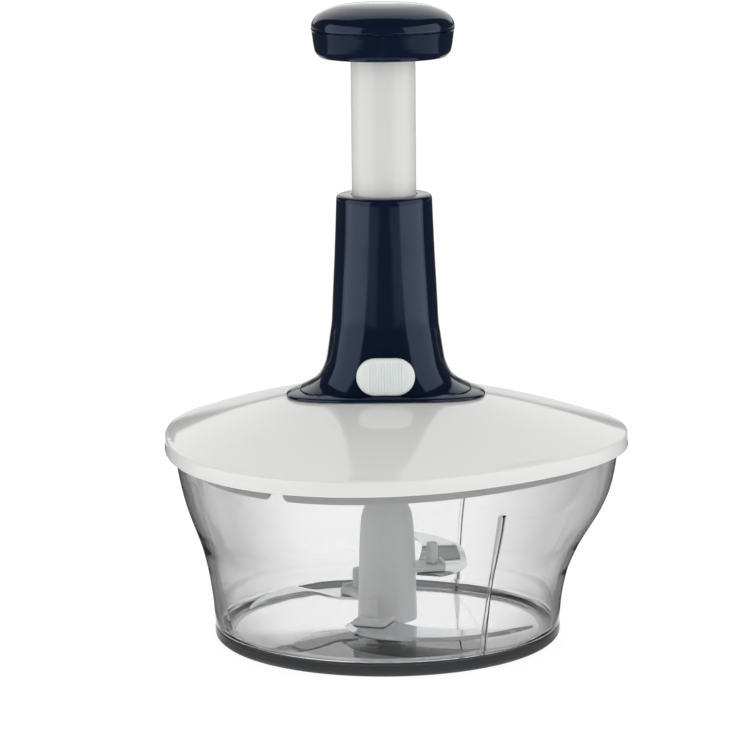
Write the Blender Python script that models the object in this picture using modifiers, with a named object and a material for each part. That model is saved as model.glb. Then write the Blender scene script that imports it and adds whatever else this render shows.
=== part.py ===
"""Plunger food chopper: bowl, lidded drive tower, push knob and a three-blade unit.

Metres, +Z up. The origin is on the blade's axis, in the plane that the foot rests on.
Azimuths are in degrees about +Z from +X. The front of the chopper, with its lock button, faces -Y.
"""

import math

import bmesh
import bpy
from mathutils import Vector

MM = 0.001
RUNNING_GAP = 0.3 * MM
OVERRUN = 2.0 * MM
THIRD_OF_TURN = math.radians(120)
QUARTER_TURN = math.radians(90)

# Bowl: a round base that opens into three broad lobes at the rim.
BOWL_HEIGHT = 88.5 * MM
BOWL_BASE_RADIUS = 78.0 * MM
BOWL_FLARE = 21.8 * MM
BOWL_RIM_RADIUS = BOWL_BASE_RADIUS + BOWL_FLARE
BOWL_WALL = 2.5 * MM
BOWL_FLOOR_TOP = 3.8 * MM
BOWL_UNDERSIDE = 0.8 * MM
BOWL_CORNER_RADIUS = 5.0 * MM
LOBE_DEPTH = 4.9 * MM
LOBE_AZIMUTH = math.radians(7.5)
RIB_AZIMUTH = math.radians(63.5)
RIB_THICKNESS = 2.4 * MM
RIB_DEPTH = 2.6 * MM
RIB_BELOW_RIM = 17.0 * MM
RIB_TOP = BOWL_HEIGHT - RIB_BELOW_RIM
BOSS_RADIUS = 6.5 * MM
BOSS_TOP = 7.0 * MM
PIN_RADIUS = 3.0 * MM
PIN_TOP = 18.0 * MM
PIN_SEAT = 2.2 * MM

# Non-slip foot: a ring that wraps the bowl's lower corner.
FOOT_BOTTOM_RADIUS = BOWL_BASE_RADIUS - 2.3 * MM
FOOT_WIDTH = 8.5 * MM
FOOT_INNER_RADIUS = BOWL_BASE_RADIUS - FOOT_WIDTH
FOOT_WALL = 3.2 * MM
FOOT_LIP = 1.7 * MM
FOOT_HEIGHT = 6.5 * MM

# Lid: a shallow lobed dome with an upright band round its edge.
LID_EDGE_RADIUS = BOWL_RIM_RADIUS + 2.9 * MM
LID_BAND_RADIUS = LID_EDGE_RADIUS + 1.4 * MM
LID_BAND_BOTTOM = BOWL_HEIGHT - 2.5 * MM
LID_EDGE_RISE = 4.6 * MM
LID_EDGE_HEIGHT = BOWL_HEIGHT + LID_EDGE_RISE
LID_DOME_RISE = 20.3 * MM
LID_APEX_HEIGHT = LID_EDGE_HEIGHT + LID_DOME_RISE
LID_WALL = 2.4 * MM
LID_HOLE_RADIUS = 21.0 * MM
LID_BOSS_RADIUS = 4.0 * MM

# Inner cover: closes the lid from below, seats on the bowl's rim and carries the drive's bearing tube.
COVER_BOTTOM = BOWL_HEIGHT + RUNNING_GAP
COVER_THICKNESS = 1.6 * MM
SKIRT_DEPTH = 7.8 * MM
SKIRT_BOTTOM = BOWL_HEIGHT - SKIRT_DEPTH
SKIRT_WALL = 2.0 * MM
SKIRT_NOTCH = 7.5 * MM
SKIRT_NOTCH_AZIMUTH = math.radians(-119)
BEARING_BORE = 15.2 * MM
BEARING_WALL = 2.4 * MM
BEARING_DEPTH = 22.5 * MM
BEARING_BOTTOM = BOWL_HEIGHT - BEARING_DEPTH
COVER_SCREW_CIRCLE = 60.0 * MM
COVER_SCREW_AZIMUTH = math.radians(67.5)

# Tower: a round neck that spreads sideways into a long oval foot on the lid.
TOWER_RISE = 87.1 * MM
TOWER_TOP = LID_APEX_HEIGHT + TOWER_RISE
TOWER_SHOULDER_HEIGHT = TOWER_TOP - 3.5 * MM
TOWER_TOP_RADIUS = 21.4 * MM
TOWER_FOOT_HALF_WIDTH = 44.5 * MM
TOWER_FOOT_HALF_DEPTH = 31.0 * MM
TOWER_WALL = 2.4 * MM
TOWER_FOOT_EDGE = 1.6 * MM
ROUND = 2.0
TOWER_SQUARENESS_GAIN = 0.9
FOOT_SQUARENESS = 2.2

# Push knob and plunger.
PLUNGER_SHOWN = 60.5 * MM
KNOB_UNDERSIDE = TOWER_TOP + PLUNGER_SHOWN
KNOB_BASE_HEIGHT = 10.5 * MM
KNOB_PARTING = KNOB_UNDERSIDE + KNOB_BASE_HEIGHT
KNOB_CAP_HEIGHT = 13.5 * MM
KNOB_TOP = KNOB_PARTING + KNOB_CAP_HEIGHT
KNOB_RADIUS = 31.7 * MM
KNOB_WALL = 2.2 * MM
PLUNGER_RADIUS = 14.3 * MM
PLUNGER_BORE = 12.3 * MM
PLUNGER_GUIDED = 32.5 * MM
PLUNGER_BOTTOM = TOWER_TOP - PLUNGER_GUIDED
PLUNGER_IN_KNOB = 3.0 * MM
PLUNGER_TOP = KNOB_UNDERSIDE + PLUNGER_IN_KNOB
STOP_FLANGE_RADIUS = 16.4 * MM
STOP_FLANGE_THICKNESS = 2.5 * MM
PLUNGER_CLEAR_OF_HOUSING = 1.4 * MM

# Drive: a twisted square rod turns a nut, and the nut turns the coupling that holds the blade unit.
ROD_SIDE = 6.4 * MM
ROD_BOTTOM = BOWL_HEIGHT - 0.5 * MM
ROD_IN_KNOB = 5.0 * MM
ROD_TOP = KNOB_UNDERSIDE + ROD_IN_KNOB
ROD_PLAIN_END = 9.0 * MM
ROD_TWIST_END = KNOB_UNDERSIDE - ROD_PLAIN_END
ROD_LEAD = 48.0 * MM
ROD_SLICE = 2.0 * MM
NUT_OVER_RIM = 7.5 * MM
NUT_BOTTOM = BOWL_HEIGHT + NUT_OVER_RIM
NUT_HEIGHT = 10.0 * MM
NUT_TOP = NUT_BOTTOM + NUT_HEIGHT
NUT_RADIUS = 12.0 * MM
NUT_FLANGE_RADIUS = 14.5 * MM
NUT_FLANGE = 2.6 * MM
NUT_CLEARANCE = 0.6 * MM
DOG_COUNT = 6
DOG_WIDTH_SHARE = 0.7
DOG_HEIGHT = 1.6 * MM
DOG_INNER_RADIUS = 7.6 * MM
DOG_OUTER_RADIUS = 11.6 * MM
COUPLING_RADIUS = 14.8 * MM
COUPLING_DEPTH = 23.5 * MM
COUPLING_BOTTOM = BOWL_HEIGHT - COUPLING_DEPTH
COUPLING_FLANGE_RADIUS = 17.4 * MM
COUPLING_FLANGE = 1.8 * MM
SOCKET_DEPTH = 19.0 * MM
ROD_HOLE_RADIUS = 6.0 * MM
HOUSING_RADIUS = 19.6 * MM
HOUSING_WALL = 1.8 * MM
HOUSING_TOP = NUT_TOP + 2.6 * MM
HOUSING_CAP = 2.0 * MM
HOUSING_FOOT_RADIUS = 30.0 * MM
HOUSING_FOOT = 2.0 * MM
SPRING_RADIUS = 8.9 * MM
SPRING_WIRE = 1.3 * MM
SPRING_TURNS = 20
SPRING_POINTS_PER_TURN = 8

# Blade unit: a hollow hub with three moulded arms, one above the other.
HUB_BOTTOM = BOSS_TOP + 0.5 * MM
HUB_FOOT_RADIUS = 13.4 * MM
HUB_TOP_RADIUS = 8.9 * MM
HUB_TOP = COUPLING_BOTTOM - 3.0 * MM
NECK_IN_SOCKET = 17.0 * MM
HUB_NECK_TOP = COUPLING_BOTTOM + NECK_IN_SOCKET
NECK_ACROSS_FLATS = 15.6 * MM
HUB_BORE = 6.0 * MM
HUB_WEB_BOTTOM = 20.0 * MM
HUB_WEB_TOP = 25.0 * MM
BUSH_WALL = 1.6 * MM
ARM_THICKNESS = 2.3 * MM
ARM_WIDTH = 15.0 * MM
ARM_LENGTH = 26.0 * MM
ARM_LIP = 1.4 * MM
PEG_CIRCLE = 20.7 * MM
PEG_RADIUS = 2.6 * MM
PEG_HEIGHT = 9.6 * MM
PEG_SHANK_RADIUS = 1.8 * MM
PEG_RIVET = 0.9 * MM
BLADE_THICKNESS = 1.2 * MM
BLADE_HEEL_RADIUS = 25.5 * MM
BLADE_HEEL_TURN = math.radians(-28)
BLADE_RAMP_CLEARANCE = 2.0 * MM
BLADE_RAMP_LENGTH = 9.0 * MM
BLADE_INNER_SWEEP = math.radians(54)
BLADE_POINT = 0.8 * MM
BLADE_GRIND = 2.4 * MM
BLADE_EDGE = 0.3 * MM
BLADE_STATIONS = 14
BLADE_STRIPS = 5
BLADE_OUTER_POWER = 0.92
BLADE_GRIND_SHARE = 0.6
LOWER_TIP_GAP = 9.5 * MM
UPPER_TIP_GAP = 11.5 * MM
LOWER_TIP_RADIUS = BOWL_BASE_RADIUS - LOWER_TIP_GAP
UPPER_TIP_RADIUS = BOWL_BASE_RADIUS - UPPER_TIP_GAP

# Lock: a ribbed button on the tower's front slides sideways and holds the pressed plunger's flange down.
LOCK_WIDTH = 26.2 * MM
LOCK_HEIGHT = 18.2 * MM
LOCK_OVER_LID = 9.4 * MM
LOCK_CENTRE_HEIGHT = LID_APEX_HEIGHT + LOCK_OVER_LID
LOCK_PLATE = 2.9 * MM
LOCK_CROWN = 0.9 * MM
LOCK_RIB = 0.6 * MM
LOCK_RIB_PITCH = 1.7 * MM
LOCK_RIB_COUNT = 9
LOCK_END_STEPS = 8
LOCK_STROKE = 6.0 * MM
LOCK_STEM_WIDTH = 8.0 * MM
LOCK_STEM_HEIGHT = 5.0 * MM
LOCK_FACE = 26.5 * MM
CATCH_THICKNESS = 2.4 * MM
CATCH_LEFT = 11.0 * MM
CATCH_RIGHT = 5.0 * MM
CATCH_UPRIGHT_RIGHT = 0.5 * MM
CATCH_REACH = 14.4 * MM

# Screws.
SCREW_RADIUS = 1.4 * MM
SCREW_HOLE_RADIUS = 1.7 * MM
SCREW_HEAD_RADIUS = 3.1 * MM
SCREW_HEAD = 2.0 * MM
SCREW_LENGTH = 10.0 * MM

LOBED_SEGMENTS = 48
ROUND_SEGMENTS = 32
SMALL_SEGMENTS = 16
FINE_SEGMENTS = 12
CORNER_STEPS = 3
LID_STEPS = 5

# Height share, flare share and lobe share up the bowl's wall.
BOWL_SHARES = (
    (0.0, 0.0, 0.0), (0.13, 0.03, 0.0), (0.28, 0.13, 0.08), (0.36, 0.22, 0.21), (0.45, 0.35, 0.39),
    (0.53, 0.50, 0.59), (0.61, 0.655, 0.79), (0.69, 0.78, 0.92), (0.77, 0.87, 0.99), (0.88, 0.95, 1.0),
    (1.0, 1.0, 1.0),
)
# Height share and depth share up each rib, above the bowl's foot.
RIB_SHARES = (
    (0.03, 1.0), (0.2, 1.0), (0.37, 1.0), (0.52, 1.0), (0.66, 1.0), (0.8, 1.0), (0.96, 1.0), (0.98, 0.84),
    (1.0, 0.5),
)
# Height share down from the shoulder, and how much of the sideways and the forward spread is reached.
TOWER_SHARES = (
    (0.0, 0.0, 0.0), (0.15, 0.022, 0.04), (0.29, 0.045, 0.07), (0.44, 0.075, 0.11), (0.53, 0.092, 0.14),
    (0.63, 0.112, 0.18), (0.69, 0.145, 0.23), (0.755, 0.18, 0.29), (0.82, 0.22, 0.36), (0.855, 0.26, 0.39),
    (0.885, 0.31, 0.41), (0.92, 0.395, 0.43), (0.95, 0.53, 0.45), (0.975, 0.72, 0.49),
)
# Radius share and height share over the knob's cap and round its base.
CAP_SHARES = (
    (0.32, 0.99), (0.60, 0.92), (0.80, 0.77), (0.92, 0.60), (0.985, 0.38), (1.0, 0.18), (1.0, 0.0),
)
BASE_SHARES = ((0.985, 1.0), (0.975, 0.75), (0.963, 0.5), (0.945, 0.27), (0.905, 0.1), (0.85, 0.0))
# Height share and radius share down the blade hub, between its top and foot radii.
HUB_SHARES = (
    (0.0, 0.0), (0.06, 0.26), (0.13, 0.56), (0.265, 0.74), (0.52, 0.86), (0.86, 0.96), (0.95, 1.0),
    (1.0, 1.0),
)
# Radius share and height share from a screw head's rim over its crown.
SCREW_CROWN_SHARES = ((1.0, 0.4), (0.6, 1.0))
# Radius share and drop below the top, in peg radii, over a peg's rounded end.
PEG_END_SHARES = ((0.5, 0.12), (0.87, 0.5), (1.0, 1.0))
# Share of the way out from the bore and share of the wall's thickness, over the tower's top edge.
TOWER_EDGE_SHARES = ((0.0, 0.0), (0.5, 0.12), (0.86, 0.55))

BLADES = (
    # name, azimuth, underside height, rise past the arm, sweep, tip radius
    ("lower", math.radians(-110), 8.0 * MM, 0.0, math.radians(90), LOWER_TIP_RADIUS),
    ("middle", math.radians(130), 13.8 * MM, 4.0 * MM, math.radians(72), UPPER_TIP_RADIUS),
    ("upper", math.radians(10), 28.2 * MM, 5.0 * MM, math.radians(84), UPPER_TIP_RADIUS),
)


def clear_scene():
    for item in list(bpy.data.objects):
        bpy.data.objects.remove(item, do_unlink=True)


def new_collection(name):
    collection = bpy.data.collections.new(name)
    bpy.context.scene.collection.children.link(collection)
    return collection


def material(name, colour, roughness, metallic=0.0, alpha=1.0):
    made = bpy.data.materials.new(name)
    made.use_nodes = True
    shader = made.node_tree.nodes["Principled BSDF"]
    rgb = [int(colour[i : i + 2], 16) / 255 for i in (1, 3, 5)]
    linear = [c / 12.92 if c <= 0.04045 else ((c + 0.055) / 1.055) ** 2.4 for c in rgb]
    shader.inputs["Base Color"].default_value = (*linear, 1.0)
    shader.inputs["Roughness"].default_value = roughness
    shader.inputs["Metallic"].default_value = metallic
    shader.inputs["Alpha"].default_value = alpha
    return made


def add(name, mesh, finish, collection=None):
    """Links a new object for the mesh, in the chopper's collection unless another is given."""
    made = bpy.data.objects.new(name, mesh)
    (collection or PARTS).objects.link(made)
    if finish is not None:
        mesh.materials.append(finish)
    mesh.shade_smooth()
    mesh.set_sharp_from_angle(angle=math.radians(32))
    return made


def make_cutter(item):
    item.hide_render = True
    item.display_type = "WIRE"
    return item


def combine(target, other, operation="DIFFERENCE"):
    """Cuts the other object from the target, or joins it on."""
    step = target.modifiers.new(operation.lower(), "BOOLEAN")
    step.operation = operation
    step.solver = "EXACT"
    step.object = make_cutter(other)
    return target


def turned(name, profile, finish, segments=ROUND_SEGMENTS, closed=True, collection=None):
    """Turns a profile of radius and height pairs about Z. It runs down the outer side first."""
    mesh = bpy.data.meshes.new(name)
    points = [(radius, 0.0, height) for radius, height in profile]
    edges = [(i, i + 1) for i in range(len(points) - 1)]
    if closed:
        edges.append((len(points) - 1, 0))
    mesh.from_pydata(points, edges, [])
    made = add(name, mesh, finish, collection)
    screw = made.modifiers.new("turn", "SCREW")
    screw.angle = math.tau
    screw.steps = segments
    screw.render_steps = segments
    screw.use_merge_vertices = True
    screw.merge_threshold = 0.01 * MM
    screw.use_smooth_shade = True
    return made


def loft(name, loops, finish, closed=False, collection=None):
    """Skins a list of point loops. The ends are capped, or the last loop is joined to the first."""
    mesh = bpy.data.meshes.new(name)
    shape = bmesh.new()
    rings = [[shape.verts.new(point) for point in loop] for loop in loops]
    count = len(rings[0])
    pairs = list(zip(rings, rings[1:]))
    if closed:
        pairs.append((rings[-1], rings[0]))
    for above, below in pairs:
        for i in range(count):
            j = (i + 1) % count
            shape.faces.new((above[i], above[j], below[j], below[i]))
    if not closed:
        shape.faces.new(rings[0])
        shape.faces.new(rings[-1])
    bmesh.ops.recalc_face_normals(shape, faces=shape.faces)
    shape.to_mesh(mesh)
    shape.free()
    return add(name, mesh, finish, collection)


def prism(name, outline, low, high, finish, collection=None):
    """An upright prism on an outline of x, y pairs."""
    loops = [[Vector((x, y, height)) for x, y in outline] for height in (high, low)]
    return loft(name, loops, finish, collection=collection)


def cylinder(name, radius, low, high, place=(0.0, 0.0), segments=SMALL_SEGMENTS):
    """An upright cylinder to cut with or to join on."""
    outline = [(place[0] + x, place[1] + y) for x, y in circle(radius, segments)]
    return prism(name, outline, low, high, None, CUTTERS)


def box(name, low, high, finish=None, collection=None):
    outline = ((low[0], low[1]), (high[0], low[1]), (high[0], high[1]), (low[0], high[1]))
    return prism(name, outline, low[2], high[2], finish, collection)


def circle(radius, segments):
    steps = [math.tau * i / segments for i in range(segments)]
    return [(radius * math.cos(a), radius * math.sin(a)) for a in steps]


def polar(radius, azimuth):
    return (radius * math.cos(azimuth), radius * math.sin(azimuth))


def lobed_radius(radius, lobe, azimuth):
    return radius + lobe * math.cos(3 * (azimuth - LOBE_AZIMUTH))


def lobed_loop(radius, lobe, height):
    """One level of a three-lobed form."""
    points = []
    for i in range(LOBED_SEGMENTS):
        azimuth = math.tau * i / LOBED_SEGMENTS
        x, y = polar(lobed_radius(radius, lobe, azimuth), azimuth)
        points.append(Vector((x, y, height)))
    return points


def lid_top(radius, rim_radius=LID_EDGE_RADIUS):
    """Height of the dome over a radius, in the lid's middle direction."""
    share = radius / rim_radius
    return LID_APEX_HEIGHT - (LID_APEX_HEIGHT - LID_EDGE_HEIGHT) * share * share


def bowl_radius(height):
    """Outer radius and lobe depth of the bowl's wall at a height."""
    wall_bottom = FOOT_HEIGHT + RUNNING_GAP
    share = min(max((height - wall_bottom) / (BOWL_HEIGHT - wall_bottom), 0.0), 1.0)
    for low, high in zip(BOWL_SHARES, BOWL_SHARES[1:]):
        if share <= high[0]:
            part = (share - low[0]) / (high[0] - low[0])
            flare = low[1] + part * (high[1] - low[1])
            lobe = low[2] + part * (high[2] - low[2])
            break
    return BOWL_BASE_RADIUS + flare * (BOWL_RIM_RADIUS - BOWL_BASE_RADIUS), lobe * LOBE_DEPTH


def make_bowl():
    wall_bottom = FOOT_HEIGHT + RUNNING_GAP
    corner_radius = BOWL_BASE_RADIUS - FOOT_WALL - RUNNING_GAP
    lip_radius = FOOT_INNER_RADIUS - RUNNING_GAP
    ledge = FOOT_LIP + RUNNING_GAP
    loops = [
        lobed_loop(lip_radius, 0.0, BOWL_UNDERSIDE),
        lobed_loop(lip_radius, 0.0, ledge),
        lobed_loop(corner_radius, 0.0, ledge),
        lobed_loop(corner_radius, 0.0, wall_bottom),
    ]
    heights = [wall_bottom + share[0] * (BOWL_HEIGHT - wall_bottom) for share in BOWL_SHARES]
    for height in heights:
        radius, lobe = bowl_radius(height)
        loops.append(lobed_loop(radius, lobe, height))
    for height in reversed(heights[1:]):
        radius, lobe = bowl_radius(height)
        loops.append(lobed_loop(radius - BOWL_WALL, lobe, height))
    for step in range(CORNER_STEPS + 1):
        angle = QUARTER_TURN * step / CORNER_STEPS
        radius = BOWL_BASE_RADIUS - BOWL_WALL - BOWL_CORNER_RADIUS * (1 - math.cos(angle))
        height = BOWL_FLOOR_TOP + BOWL_CORNER_RADIUS * (1 - math.sin(angle))
        loops.append(lobed_loop(radius, 0.0, height))
    bowl = loft("bowl", loops, SMOKED)
    for k in range(3):
        combine(bowl, make_rib("rib_shape_%d" % k, RIB_AZIMUTH + k * THIRD_OF_TURN), "UNION")
    boss = cylinder("boss_shape", BOSS_RADIUS, BOWL_FLOOR_TOP - BOWL_WALL / 2, BOSS_TOP)
    combine(bowl, boss, "UNION")
    seat = cylinder("pin_seat", PIN_RADIUS + RUNNING_GAP, PIN_SEAT, BOSS_TOP + OVERRUN)
    combine(bowl, seat)


def make_rib(name, azimuth):
    """A slim bead up the wall's inner face. Its outer edge lies inside the wall."""
    foot = BOWL_FLOOR_TOP - BOWL_WALL / 2
    half = RIB_THICKNESS / 2
    across = Vector((*polar(1, azimuth + QUARTER_TURN), 0))
    along = Vector((*polar(1, azimuth), 0))
    loops = []
    wall_bottom = FOOT_HEIGHT + RUNNING_GAP
    rows = [(foot, 1.0), (wall_bottom + RUNNING_GAP, 1.0)]
    rows += [(wall_bottom + (RIB_TOP - wall_bottom) * up, depth) for up, depth in RIB_SHARES]
    for k, (height, depth_share) in enumerate(rows):
        face = lobed_radius(*bowl_radius(height), azimuth) - BOWL_WALL
        root = face + BOWL_WALL / 2 if k > 1 else BOWL_BASE_RADIUS - FOOT_WALL - RUNNING_GAP * 2
        nose = min(face - RIB_DEPTH * depth_share, root - RIB_DEPTH)
        rise = Vector((0, 0, height))
        loops.append([
            rise + along * nose - across * half / 2,
            rise + along * (nose + half) - across * half,
            rise + along * root - across * half,
            rise + along * root + across * half,
            rise + along * (nose + half) + across * half,
            rise + along * nose + across * half / 2,
        ])
    return loft(name, loops, None, collection=CUTTERS)


def make_foot_and_pin():
    outer = BOWL_BASE_RADIUS
    turned("nonslip_foot", (
        (outer, FOOT_HEIGHT), (outer, FOOT_LIP * 2), (outer - FOOT_LIP / 2, FOOT_LIP),
        (FOOT_BOTTOM_RADIUS, 0.0), (FOOT_INNER_RADIUS, 0.0), (FOOT_INNER_RADIUS, FOOT_LIP),
        (outer - FOOT_WALL, FOOT_LIP), (outer - FOOT_WALL, FOOT_HEIGHT),
    ), ELASTOMER, LOBED_SEGMENTS)
    chamfer = PIN_RADIUS / 3
    turned("pivot_pin", (
        (0.0, PIN_TOP), (PIN_RADIUS - chamfer, PIN_TOP), (PIN_RADIUS, PIN_TOP - chamfer),
        (PIN_RADIUS, PIN_SEAT + RUNNING_GAP), (0.0, PIN_SEAT + RUNNING_GAP),
    ), STEEL, SMALL_SEGMENTS, closed=False)


def make_lid():
    steps = [i / LID_STEPS for i in range(LID_STEPS + 1)]
    radii = [LID_HOLE_RADIUS + (LID_EDGE_RADIUS - LID_HOLE_RADIUS) * share for share in steps]
    loops = []
    for radius in radii:
        lobe = LOBE_DEPTH * (radius / LID_EDGE_RADIUS) ** 3
        loops.append(lobed_loop(radius, lobe, lid_top(radius)))
    soften = LID_BAND_RADIUS - LID_EDGE_RADIUS
    inner_band = LID_BAND_RADIUS - LID_WALL
    loops += [
        lobed_loop(LID_BAND_RADIUS - soften / 3, LOBE_DEPTH, LID_EDGE_HEIGHT - soften / 2),
        lobed_loop(LID_BAND_RADIUS, LOBE_DEPTH, LID_EDGE_HEIGHT - soften * 2),
        lobed_loop(LID_BAND_RADIUS, LOBE_DEPTH, LID_BAND_BOTTOM + soften / 2),
        lobed_loop(LID_BAND_RADIUS - soften / 2, LOBE_DEPTH, LID_BAND_BOTTOM),
        lobed_loop(inner_band, LOBE_DEPTH, LID_BAND_BOTTOM),
        lobed_loop(inner_band, LOBE_DEPTH, lid_top(inner_band) - LID_WALL),
    ]
    for radius in reversed(radii[:-1]):
        lobe = LOBE_DEPTH * (radius / LID_EDGE_RADIUS) ** 3
        loops.append(lobed_loop(radius, lobe, lid_top(radius) - LID_WALL))
    lid = loft("lid_shell", loops, WHITE, closed=True)
    cover_top = COVER_BOTTOM + COVER_THICKNESS
    for k in range(3):
        place = polar(COVER_SCREW_CIRCLE, COVER_SCREW_AZIMUTH + k * THIRD_OF_TURN)
        top = lid_top(COVER_SCREW_CIRCLE) - LID_WALL / 2
        boss = cylinder("lid_boss_%d" % k, LID_BOSS_RADIUS, cover_top + RUNNING_GAP, top, place=place)
        combine(lid, boss, "UNION")
        hole = cylinder("lid_hole_%d" % k, SCREW_HOLE_RADIUS, cover_top, cover_top + SCREW_LENGTH,
                        place=place, segments=FINE_SEGMENTS)
        combine(lid, hole)


def make_cover():
    top = COVER_BOTTOM + COVER_THICKNESS
    skirt_outer = bowl_radius(SKIRT_BOTTOM)[0] - BOWL_WALL - RUNNING_GAP * 2
    skirt_inner = skirt_outer - SKIRT_WALL
    rim = LID_BAND_RADIUS - LID_WALL - RUNNING_GAP
    tube = BEARING_BORE + BEARING_WALL
    loops = [
        lobed_loop(BEARING_BORE, 0.0, top), lobed_loop(rim, LOBE_DEPTH, top),
        lobed_loop(rim, LOBE_DEPTH, COVER_BOTTOM), lobed_loop(skirt_outer, LOBE_DEPTH, COVER_BOTTOM),
        lobed_loop(skirt_outer, LOBE_DEPTH, SKIRT_BOTTOM), lobed_loop(skirt_inner, LOBE_DEPTH, SKIRT_BOTTOM),
        lobed_loop(skirt_inner, LOBE_DEPTH, COVER_BOTTOM), lobed_loop(tube, 0.0, COVER_BOTTOM),
        lobed_loop(tube, 0.0, BEARING_BOTTOM), lobed_loop(BEARING_BORE, 0.0, BEARING_BOTTOM),
    ]
    cover = loft("inner_cover", loops, WHITE, closed=True)
    for k in range(3):
        azimuth = SKIRT_NOTCH_AZIMUTH + k * THIRD_OF_TURN
        notch = box("notch_%d" % k, (skirt_inner - OVERRUN, -SKIRT_NOTCH / 2, SKIRT_BOTTOM - OVERRUN),
                    (rim + LOBE_DEPTH + OVERRUN, SKIRT_NOTCH / 2, COVER_BOTTOM - RUNNING_GAP),
                    collection=CUTTERS)
        notch.rotation_euler.z = azimuth
        combine(cover, notch)
        place = polar(COVER_SCREW_CIRCLE, COVER_SCREW_AZIMUTH + k * THIRD_OF_TURN)
        hole = cylinder("cover_hole_%d" % k, SCREW_HOLE_RADIUS, COVER_BOTTOM - OVERRUN, top + OVERRUN,
                        place=place, segments=FINE_SEGMENTS)
        combine(cover, hole)


def make_cover_screws():
    """Three like screws with domed heads, driven up through the cover into the lid's bosses."""
    head_top = COVER_BOTTOM - RUNNING_GAP
    tip = head_top + SCREW_LENGTH - OVERRUN
    for k in range(3):
        screw = turned("cover_screw_%d" % (k + 1), (
            (0.0, tip), (SCREW_RADIUS, tip), (SCREW_RADIUS, head_top), (SCREW_HEAD_RADIUS, head_top),
            *[(SCREW_HEAD_RADIUS * r, head_top - SCREW_HEAD * h) for r, h in SCREW_CROWN_SHARES],
            (0.0, head_top - SCREW_HEAD),
        ), STEEL, FINE_SEGMENTS, closed=False)
        screw.location = (*polar(COVER_SCREW_CIRCLE, COVER_SCREW_AZIMUTH + k * THIRD_OF_TURN), 0.0)


def tower_loop(half_width, half_depth, squareness, height):
    """One level of the tower: an oval whose flanks and front flatten as its squareness rises."""
    points = []
    for i in range(ROUND_SEGMENTS):
        angle = math.tau * i / ROUND_SEGMENTS
        c, s = math.cos(angle), math.sin(angle)
        x = half_width * math.copysign(abs(c) ** (2 / squareness), c)
        y = half_depth * math.copysign(abs(s) ** (2 / squareness), s)
        level = height(math.hypot(x, y)) if callable(height) else height
        points.append(Vector((x, y, level)))
    return points


def tower_sizes(share_row, wall):
    down, sideways, forward = share_row
    foot_height = lid_top(TOWER_FOOT_HALF_WIDTH) + RUNNING_GAP
    height = TOWER_SHOULDER_HEIGHT - down * (TOWER_SHOULDER_HEIGHT - foot_height - TOWER_FOOT_EDGE)
    half_width = TOWER_TOP_RADIUS + sideways * (TOWER_FOOT_HALF_WIDTH - TOWER_TOP_RADIUS) - wall
    half_depth = TOWER_TOP_RADIUS + forward * (TOWER_FOOT_HALF_DEPTH - TOWER_TOP_RADIUS) - wall
    return half_width, half_depth, ROUND + TOWER_SQUARENESS_GAIN * down ** 3, height


def make_tower():
    def on_lid(lift):
        return lambda radius: lid_top(radius) + RUNNING_GAP + lift

    bore = PLUNGER_RADIUS + RUNNING_GAP
    round_off = TOWER_TOP_RADIUS - bore
    loops = []
    for out, down in TOWER_EDGE_SHARES:
        radius = bore + round_off * out
        loops.append(tower_loop(radius, radius, ROUND, TOWER_TOP - TOWER_WALL * down))
    loops += [tower_loop(*tower_sizes(row, 0.0)) for row in TOWER_SHARES]
    loops += [
        tower_loop(TOWER_FOOT_HALF_WIDTH, TOWER_FOOT_HALF_DEPTH, FOOT_SQUARENESS, on_lid(TOWER_FOOT_EDGE)),
        tower_loop(TOWER_FOOT_HALF_WIDTH, TOWER_FOOT_HALF_DEPTH, FOOT_SQUARENESS, on_lid(0.0)),
        tower_loop(TOWER_FOOT_HALF_WIDTH - TOWER_WALL * 2, TOWER_FOOT_HALF_DEPTH - TOWER_WALL * 2,
                   FOOT_SQUARENESS, on_lid(0.0)),
    ]
    inner_rows = TOWER_SHARES[-2::-2]
    loops += [tower_loop(*tower_sizes(row, TOWER_WALL)) for row in inner_rows]
    loops.append(tower_loop(bore, bore, ROUND, TOWER_SHOULDER_HEIGHT + RUNNING_GAP))
    tower = loft("tower_housing", loops, NAVY, closed=True)
    half_stem = LOCK_STEM_WIDTH / 2 + RUNNING_GAP * 2
    half_height = LOCK_STEM_HEIGHT / 2 + RUNNING_GAP * 2
    slot = box("lock_slot", (-half_stem, -LOCK_FACE - OVERRUN, LOCK_CENTRE_HEIGHT - half_height),
               (half_stem + LOCK_STROKE, -LOCK_FACE + TOWER_WALL * 3, LOCK_CENTRE_HEIGHT + half_height),
               collection=CUTTERS)
    combine(tower, slot)
    guide_outer = TOWER_TOP_RADIUS - TOWER_WALL - RUNNING_GAP
    guide_bottom = PLUNGER_BOTTOM + STOP_FLANGE_THICKNESS + RUNNING_GAP
    guide_top = TOWER_SHOULDER_HEIGHT - RUNNING_GAP
    turned("plunger_guide", (
        (guide_outer, guide_top), (guide_outer, guide_bottom), (bore, guide_bottom), (bore, guide_top),
    ), GREY_PLASTIC)


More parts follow.
